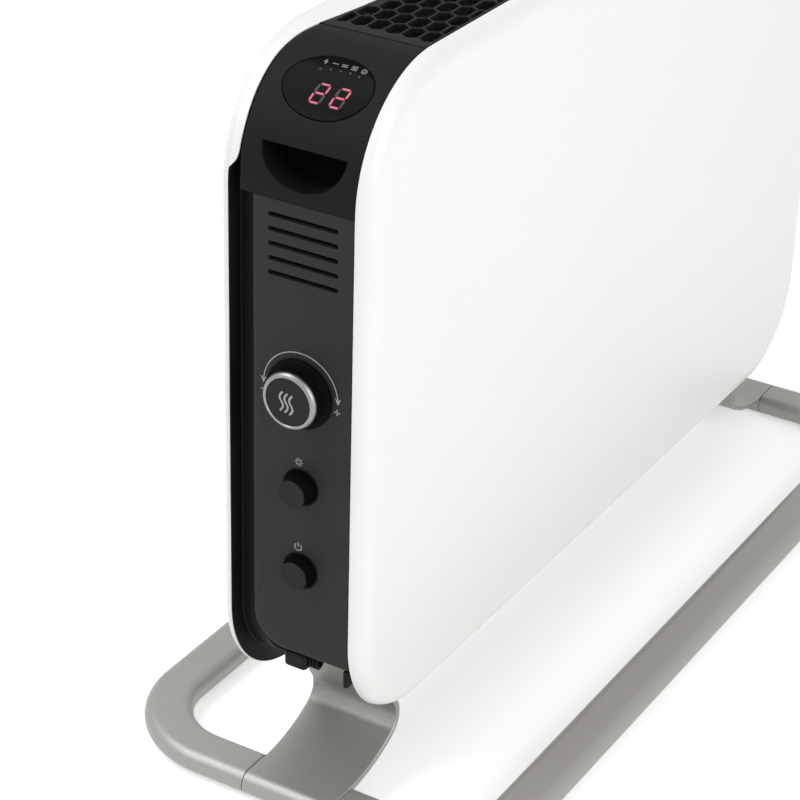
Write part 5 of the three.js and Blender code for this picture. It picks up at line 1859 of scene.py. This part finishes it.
@dataclass
class Stand:
    """The sled stand: a loop of flat-oval tube and two bent feet."""

    width: float = 30.0
    height: float = 15.0
    bottom: float = 1.9
    bar_x: float = 298.6
    rail_y: float = 118.5
    bend: float = 53.0
    foot_half: float = 30.0
    sheet: float = 4.0
    seam: float = 0.35
    lead: float = 9.0
    ramp: Point = (95.0, 30.0)
    curl: Point = (14.0, 90.0)
    neck: float = 9.0
    tab: float = 26.0
    tab_z: float = 102.3
    end_round: float = 0.5
    strip_overlap: float = 3.0
    strip_sink: float = 0.12
    strip_round: float = 1.4
    pad_x: float = 222.0
    pad_length: float = 24.0
    pad_width: float = 12.0

    def section(self, shrink: float = 0.0) -> list[Point]:
        """The tube's section.

        Args:
            shrink: How much smaller than the tube it is drawn.

        Returns:
            Its points as (across, up).
        """
        r = self.height / 2 - shrink
        half = self.width / 2 - self.height / 2
        made = []
        for s in (1, -1):
            for i in range(13):
                a = -QUARTER + math.pi * i / 12
                made.append((s * (half + r * math.cos(a)), s * r * math.sin(a)))
        return made

    def path(self, row: int) -> list[tuple[Vector, Vector]]:
        """The middle line of half of the loop.

        Args:
            row: -1 for the front half, 1 for the rear.

        Returns:
            Its points, each with the direction of the loop's outer side.
        """
        made = []
        z = self.bottom + self.height / 2
        start = self.foot_half + self.seam
        bx, by = self.bar_x - self.bend, self.rail_y - self.bend
        made.append((Vector((-self.bar_x, row * start, z)), Vector((-1, 0, 0))))
        for end in (-1, 1):
            for i in range(25):
                a = QUARTER * i / 24
                a = math.pi - a if end < 0 else QUARTER - a
                out = Vector((math.cos(a), row * math.sin(a), 0))
                made.append((Vector((end * bx, row * by, z)) + out * self.bend, out))
        made.append((Vector((self.bar_x, row * start, z)), Vector((1, 0, 0))))
        return made

    def tube(self, row: int) -> Blank:
        """Half of the loop, its ends slightly rounded.

        Args:
            row: -1 for the front half, 1 for the rear.

        Returns:
            The tube.
        """
        path = self.path(row)
        rings = [[p + out * u + Vector((0, 0, v)) for u, v in self.section()] for p, out in path]
        ends = []
        for p, out in (path[0], path[-1]):
            ends.append([p + out * u + Vector((0, 0, v)) for u, v in self.section(self.end_round)])
        for end in (0, -1):
            rings[end] = [q + Vector((0, row * self.end_round, 0)) for q in rings[end]]
        made = Blank()
        made.skin([ends[0], *rings, ends[1]])
        return made

    def strip_line(self) -> list[tuple[Vector, float]]:
        """The foot plate's middle line in (x, z) with its heading, left foot."""
        top = self.bottom + self.height - self.sheet / 2
        at = Vector((-self.bar_x + self.strip_overlap, top - self.strip_sink))
        heading = 0.0
        made = [(at.copy(), heading)]

        def forward(length: float) -> None:
            """Goes straight on."""
            nonlocal at
            at = at + Vector((math.cos(heading), math.sin(heading))) * length
            made.append((at.copy(), heading))

        def turn(radius: float, angle: float, steps: int) -> None:
            """Turns along an arc, upwards where the angle is positive."""
            nonlocal at, heading
            side = 1 if angle > 0 else -1
            for _ in range(steps):
                after = heading + angle / steps
                at = at + side * radius * Vector(
                    (math.sin(after) - math.sin(heading), math.cos(heading) - math.cos(after)))
                heading = after
                made.append((at.copy(), heading))

        forward(self.lead - self.strip_overlap)
        turn(self.ramp[0], math.radians(self.ramp[1]), 16)
        turn(self.curl[0], math.radians(self.curl[1]), 20)
        rise = self.neck * (1 - math.cos(heading))
        forward((self.tab_z - rise - at.y) / math.sin(heading))
        turn(self.neck, -heading, 14)
        forward(self.tab)
        return made

    def foot(self, side: Side) -> Blank:
        """One foot: its piece of the loop's bar and the bent plate.

        Args:
            side: Which end.

        Returns:
            The foot.
        """
        z = self.bottom + self.height / 2
        plate = rounded_rect(-self.foot_half, self.foot_half, -self.sheet / 2, self.sheet / 2,
                             [self.strip_round] * 4)
        rings = []
        for at, heading in self.strip_line():
            up = Vector((-math.sin(heading), 0, math.cos(heading)))
            middle = Vector((at.x, 0, at.y))
            rings.append([middle + Vector((0, u, 0)) + up * v for u, v in plate(0.0)])
        made = Blank()
        made.skin(rings)
        bar = []
        half, r = self.foot_half, self.end_round
        for y, shrink in ((-half, r), (-half + r, 0.0), (half - r, 0.0), (half, r)):
            bar.append([Vector((-self.bar_x + u, y, z + v)) for u, v in self.section(shrink)])
        made.skin(bar)
        return made.moved(lambda p: Vector((-side.value * p.x, p.y, p.z)))

    def pad(self, side: Side, row: int) -> Blank:
        """One rubber pad under the loop.

        Args:
            side: Which end.
            row: -1 for the front, 1 for the rear.

        Returns:
            The pad.
        """
        outline = slot_loop(side.value * self.pad_x, row * self.rail_y, self.pad_length,
                            self.pad_width)
        made = Blank()
        levels = [(-0.9, 0.0), (-0.3, 0.12), (0.0, 0.5), (0.0, 1.6)]
        made.skin([[Vector((u, v, z)) for u, v in outline(grow)] for grow, z in levels])
        return made

    def build(self) -> None:
        """Builds the stand."""
        for row, word in ((-1, "front"), (1, "rear")):
            self.tube(row).build(f"{word}_tube_bent", SILVER, Body.HEATER, [f"{word}_tube"])
            for side in Side:
                node = f"{side.word}_{word}_pad"
                self.pad(side, row).build(f"{node}_moulded", RUBBER, Body.HEATER, [node])
        for side in Side:
            node = f"{side.word}_foot"
            self.foot(side).build(f"{node}_bent", SILVER, Body.HEATER, [node])


@dataclass
class Underside:
    """Base plate, cable inlet and clip under the heater."""

    half_length: float = 278.9
    slot_pitch: float = 25.0
    slot_width: float = 9.0
    margin_x: float = 62.0
    margin_y: float = 9.0
    plate_back: float = 42.7
    plate_sheet: float = 2.0
    plate_edge: float = 0.4
    block_depth: float = 15.0
    block_lift: float = 1.2
    block_edge: float = 1.8
    ribs: int = 3
    rib_radius: float = 4.4
    core_radius: float = 3.5
    clip_lift: float = 2.0
    clip_edge: float = 1.4

    def plate(self) -> Blank:
        """The base plate with its intake slots."""
        y0, y1 = PLAN.core_front + PLAN.gap, self.plate_back
        count = int((self.half_length - self.margin_x) / self.slot_pitch)
        half = self.slot_width / 2
        holes = [
            rounded_rect(i * self.slot_pitch - half, i * self.slot_pitch + half,
                         y0 + self.margin_y, y1 - self.margin_y, [half] * 4, 6)
            for i in range(-count, count + 1)
        ]
        outer = rounded_rect(-self.half_length, self.half_length, y0, y1, [1.0] * 4, 3)
        made = punched_plate(outer, holes, self.plate_sheet, self.plate_edge)
        return made.moved(lambda p: Vector((p.x, p.y, PLAN.base_bottom - p.z)))

    def inlet(self) -> Blank:
        """The cable inlet: a clamp block and a short ribbed bush."""
        low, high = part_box("cable_inlet")
        low, high = low / MM, high / MM
        y0 = high.y - self.block_depth
        low.z += self.block_lift
        size = Vector((high.x - low.x, self.block_depth, high.z - low.z))
        centre = Vector(((low.x + high.x) / 2, high.y - size.y / 2, (low.z + high.z) / 2))
        made = pillow_box(size, centre, self.block_edge)
        screw = turned(rounded([(2.2, 0.4, 0), (2.2, 0.0, 0.2), (0, 0.0, 0)]), 24)
        spot = Vector((low.x + 0.02, centre.y + 3, centre.z))
        made.add(screw.moved(lambda p: Vector((p.z, p.x, p.y)) + spot))
        profile: list[Point] = [(0.0, 0.5)]
        length = y0 - low.y
        pitch = length / self.ribs
        for i in range(self.ribs):
            a = i * pitch
            profile += [(self.core_radius, -a), (self.core_radius, -a - pitch * 0.4),
                        (self.rib_radius, -a - pitch * 0.55), (self.rib_radius, -a - pitch * 0.9),
                        (3.9, -a - pitch)]
        profile += [(2.4, -length), (2.2, -length + 2.5), (0.0, -length + 2.5)]
        bush = turned(profile, 32)
        return made.add(bush.moved(lambda p: Vector((p.x + centre.x, y0 + p.z, p.y + centre.z))))

    def clip(self) -> Blank:
        """The clip at the front shell's edge."""
        low, high = (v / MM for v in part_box("shell_clip"))
        low = Vector((low.x, low.y, low.z + self.clip_lift))
        return pillow_box(high - low, (low + high) / 2, self.clip_edge)

    def build(self) -> None:
        """Builds the underside."""
        self.plate().build("base_plate_pressed", SMOOTH_ABS, Body.HEATER, ["base_plate"])
        self.inlet().build("cable_inlet_moulding", SMOOTH_ABS, Body.HEATER, ["cable_inlet"])
        self.clip().build("shell_clip_moulding", SMOOTH_ABS, Body.HEATER, ["shell_clip"])


@dataclass
class Inside:
    """The pieces behind the grille and the slots, which keep their CAD shapes."""

    finishes: tuple[Finish, ...] = (
        SMOOTH_ABS, ZINC, CAST, CERAMIC, BOARD, NYLON, RUBBER, GRAINED_ABS, SILVER, ENAMEL, SMOKED_PC)

    def build(self) -> None:
        """Gives every CAD node that still shows its own material."""
        by_slot = {f.slot: f for f in self.finishes}
        slots = {p["node"]: p["material_slot"] for p in frame["record"]["subparts"]}
        for name, node in frame["nodes"].items():
            if node.hide_render:
                continue
            node.data.materials.clear()
            node.data.materials.append(PAINTS.of(by_slot[slots[name]]))
            LOG.info("%s: CAD shape, %s", name, slots[name])


# ---------- studio ----------


@dataclass(frozen=True)
class Lamp:
    """A soft square lamp: where it stands and its side in metres, and its power."""

    name: str
    place: tuple[float, float, float]
    side: float
    watts: float

    def build(self, aim: Vector) -> None:
        """Makes the lamp.

        Args:
            aim: What it points at, in metres.
        """
        data = bpy.data.lights.new(self.name, "AREA")
        data.size = self.side
        data.energy = self.watts
        place = Vector(self.place)
        made = bpy.data.objects.new(self.name, data)
        made.location = place
        made.rotation_mode = "QUATERNION"
        made.rotation_quaternion = (aim - place).to_track_quat("-Z", "Y")
        bpy.context.scene.collection.objects.link(made)


@dataclass
class Studio:
    """Floor, lamps, world and camera.

    Places and sizes are in metres. The camera's place, lens and turns were fitted to the
    photograph's edges, so that the render can be laid over it.
    """

    floor_color: str = "f4f4f4"
    floor_glow: float = 0.45
    floor_half: float = 30.0
    floor_gap: float = 0.0002
    world_level: float = 0.45
    aim: tuple[float, float, float] = (0.0, 0.0, 0.25)
    lamps: tuple[Lamp, ...] = (
        Lamp("key", (-0.85, 1.5, 2.7), 1.5, 32.0),
        Lamp("side", (-2.0, 1.5, 2.1), 0.9, 13.0),
        Lamp("fill", (-0.9, -2.7, 1.4), 2.0, 45.0),
    )
    camera_place: tuple[float, float, float] = (-1.3333, -0.6747, 0.9463)
    lens: float = 117.5
    sensor: float = 36.0
    yaw: float = 0.53424
    pitch: float = 0.49997
    roll: float = 0.02692

    def seen_by_eye(self, tree: bpy.types.NodeTree) -> Socket:
        """A factor of 1 for camera, glossy and transmission rays.

        Args:
            tree: The node tree.

        Returns:
            The factor.
        """
        path = add_node(tree, "ShaderNodeLightPath").outputs
        settings = {"operation": "MAXIMUM"}
        first = add_node(tree, "ShaderNodeMath", settings,
                         {0: path["Is Camera Ray"], 1: path["Is Glossy Ray"]})
        links = {0: first.outputs[0], 1: path["Is Transmission Ray"]}
        return add_node(tree, "ShaderNodeMath", settings, links).outputs[0]

    def floor(self) -> None:
        """A wide pale floor that keeps the shadow and looks white."""
        mesh = bpy.data.meshes.new("floor")
        work = bmesh.new()
        bmesh.ops.create_grid(work, x_segments=2, y_segments=2, size=self.floor_half)
        work.to_mesh(mesh)
        work.free()
        made = bpy.data.objects.new("floor", mesh)
        made.location = (0, 0, -self.floor_gap)
        bpy.context.scene.collection.objects.link(made)
        material = bpy.data.materials.new("pale_paper_floor")
        material.use_nodes = True
        tree = material.node_tree
        tree.nodes.clear()
        matte = add_node(tree, "ShaderNodeBsdfDiffuse", {"Color": linear(self.floor_color)})
        settings = {"Color": (1, 1, 1, 1), "Strength": self.floor_glow}
        glow = add_node(tree, "ShaderNodeEmission", settings)
        both = add_node(tree, "ShaderNodeAddShader",
                        links={0: matte.outputs[0], 1: glow.outputs[0]})
        mixed = add_node(tree, "ShaderNodeMixShader",
                         links={0: self.seen_by_eye(tree), 1: matte.outputs[0], 2: both.outputs[0]})
        add_node(tree, "ShaderNodeOutputMaterial", links={"Surface": mixed.outputs[0]})
        mesh.materials.append(material)

    def world(self) -> None:
        """A white surround that also lights the heater evenly."""
        world = bpy.data.worlds.new("studio")
        world.use_nodes = True
        tree = world.node_tree
        tree.nodes.clear()
        even, white = (
            add_node(tree, "ShaderNodeBackground", {"Color": (1, 1, 1, 1), "Strength": level})
            for level in (self.world_level, 1.0)
        )
        mixed = add_node(tree, "ShaderNodeMixShader",
                         links={0: self.seen_by_eye(tree), 1: even.outputs[0], 2: white.outputs[0]})
        add_node(tree, "ShaderNodeOutputWorld", links={"Surface": mixed.outputs[0]})
        bpy.context.scene.world = world

    def camera(self) -> None:
        """The camera at the photograph's angle."""
        cp, sp = math.cos(self.yaw), math.sin(self.yaw)
        ahead, right, up = Vector((cp, sp, 0)), Vector((sp, -cp, 0)), Vector((0, 0, 1))
        ct, st = math.cos(self.pitch), math.sin(self.pitch)
        look, top = ahead * ct - up * st, ahead * st + up * ct
        cr, sr = math.cos(self.roll), math.sin(self.roll)
        across, rise = right * cr + top * sr, top * cr - right * sr
        data = bpy.data.cameras.new("camera")
        data.lens = self.lens
        data.sensor_width = self.sensor
        data.clip_start, data.clip_end = 0.05, 100.0
        made = bpy.data.objects.new("camera", data)
        turn = Matrix((across, rise, -look)).transposed().to_4x4()
        made.matrix_world = Matrix.Translation(Vector(self.camera_place)) @ turn
        bpy.context.scene.collection.objects.link(made)
        bpy.context.scene.camera = made

    def build(self) -> None:
        """Builds the studio."""
        self.camera()
        self.floor()
        self.world()
        for lamp in self.lamps:
            lamp.build(Vector(self.aim))
        bpy.context.scene.view_settings.view_transform = "Standard"


def main() -> None:
    """Builds the heater's pieces in order, then the studio."""
    logging.basicConfig(level=logging.INFO, format="%(name)s %(message)s")
    pieces = [
        Shells(),
        EndCap(Side.LEFT, window=True),
        EndCap(Side.RIGHT),
        Display(),
        EndPanel(Side.LEFT, controls=True),
        EndPanel(Side.RIGHT),
        PanelPrint(),
        RearFrame(Side.LEFT),
        RearFrame(Side.RIGHT),
        OutletGrille(),
        Knob(),
        PushButton("frost_button", Body.FROST, PLACES.frost_z, 10.4),
        PushButton("power_button", Body.POWER, PLACES.power_z, 8.0),
        Stand(),
        Underside(),
        Inside(),
        Studio(),
    ]
    for piece in pieces:
        piece.build()
        LOG.info("built %s", type(piece).__name__)


if __name__ == "__main__":
    main()
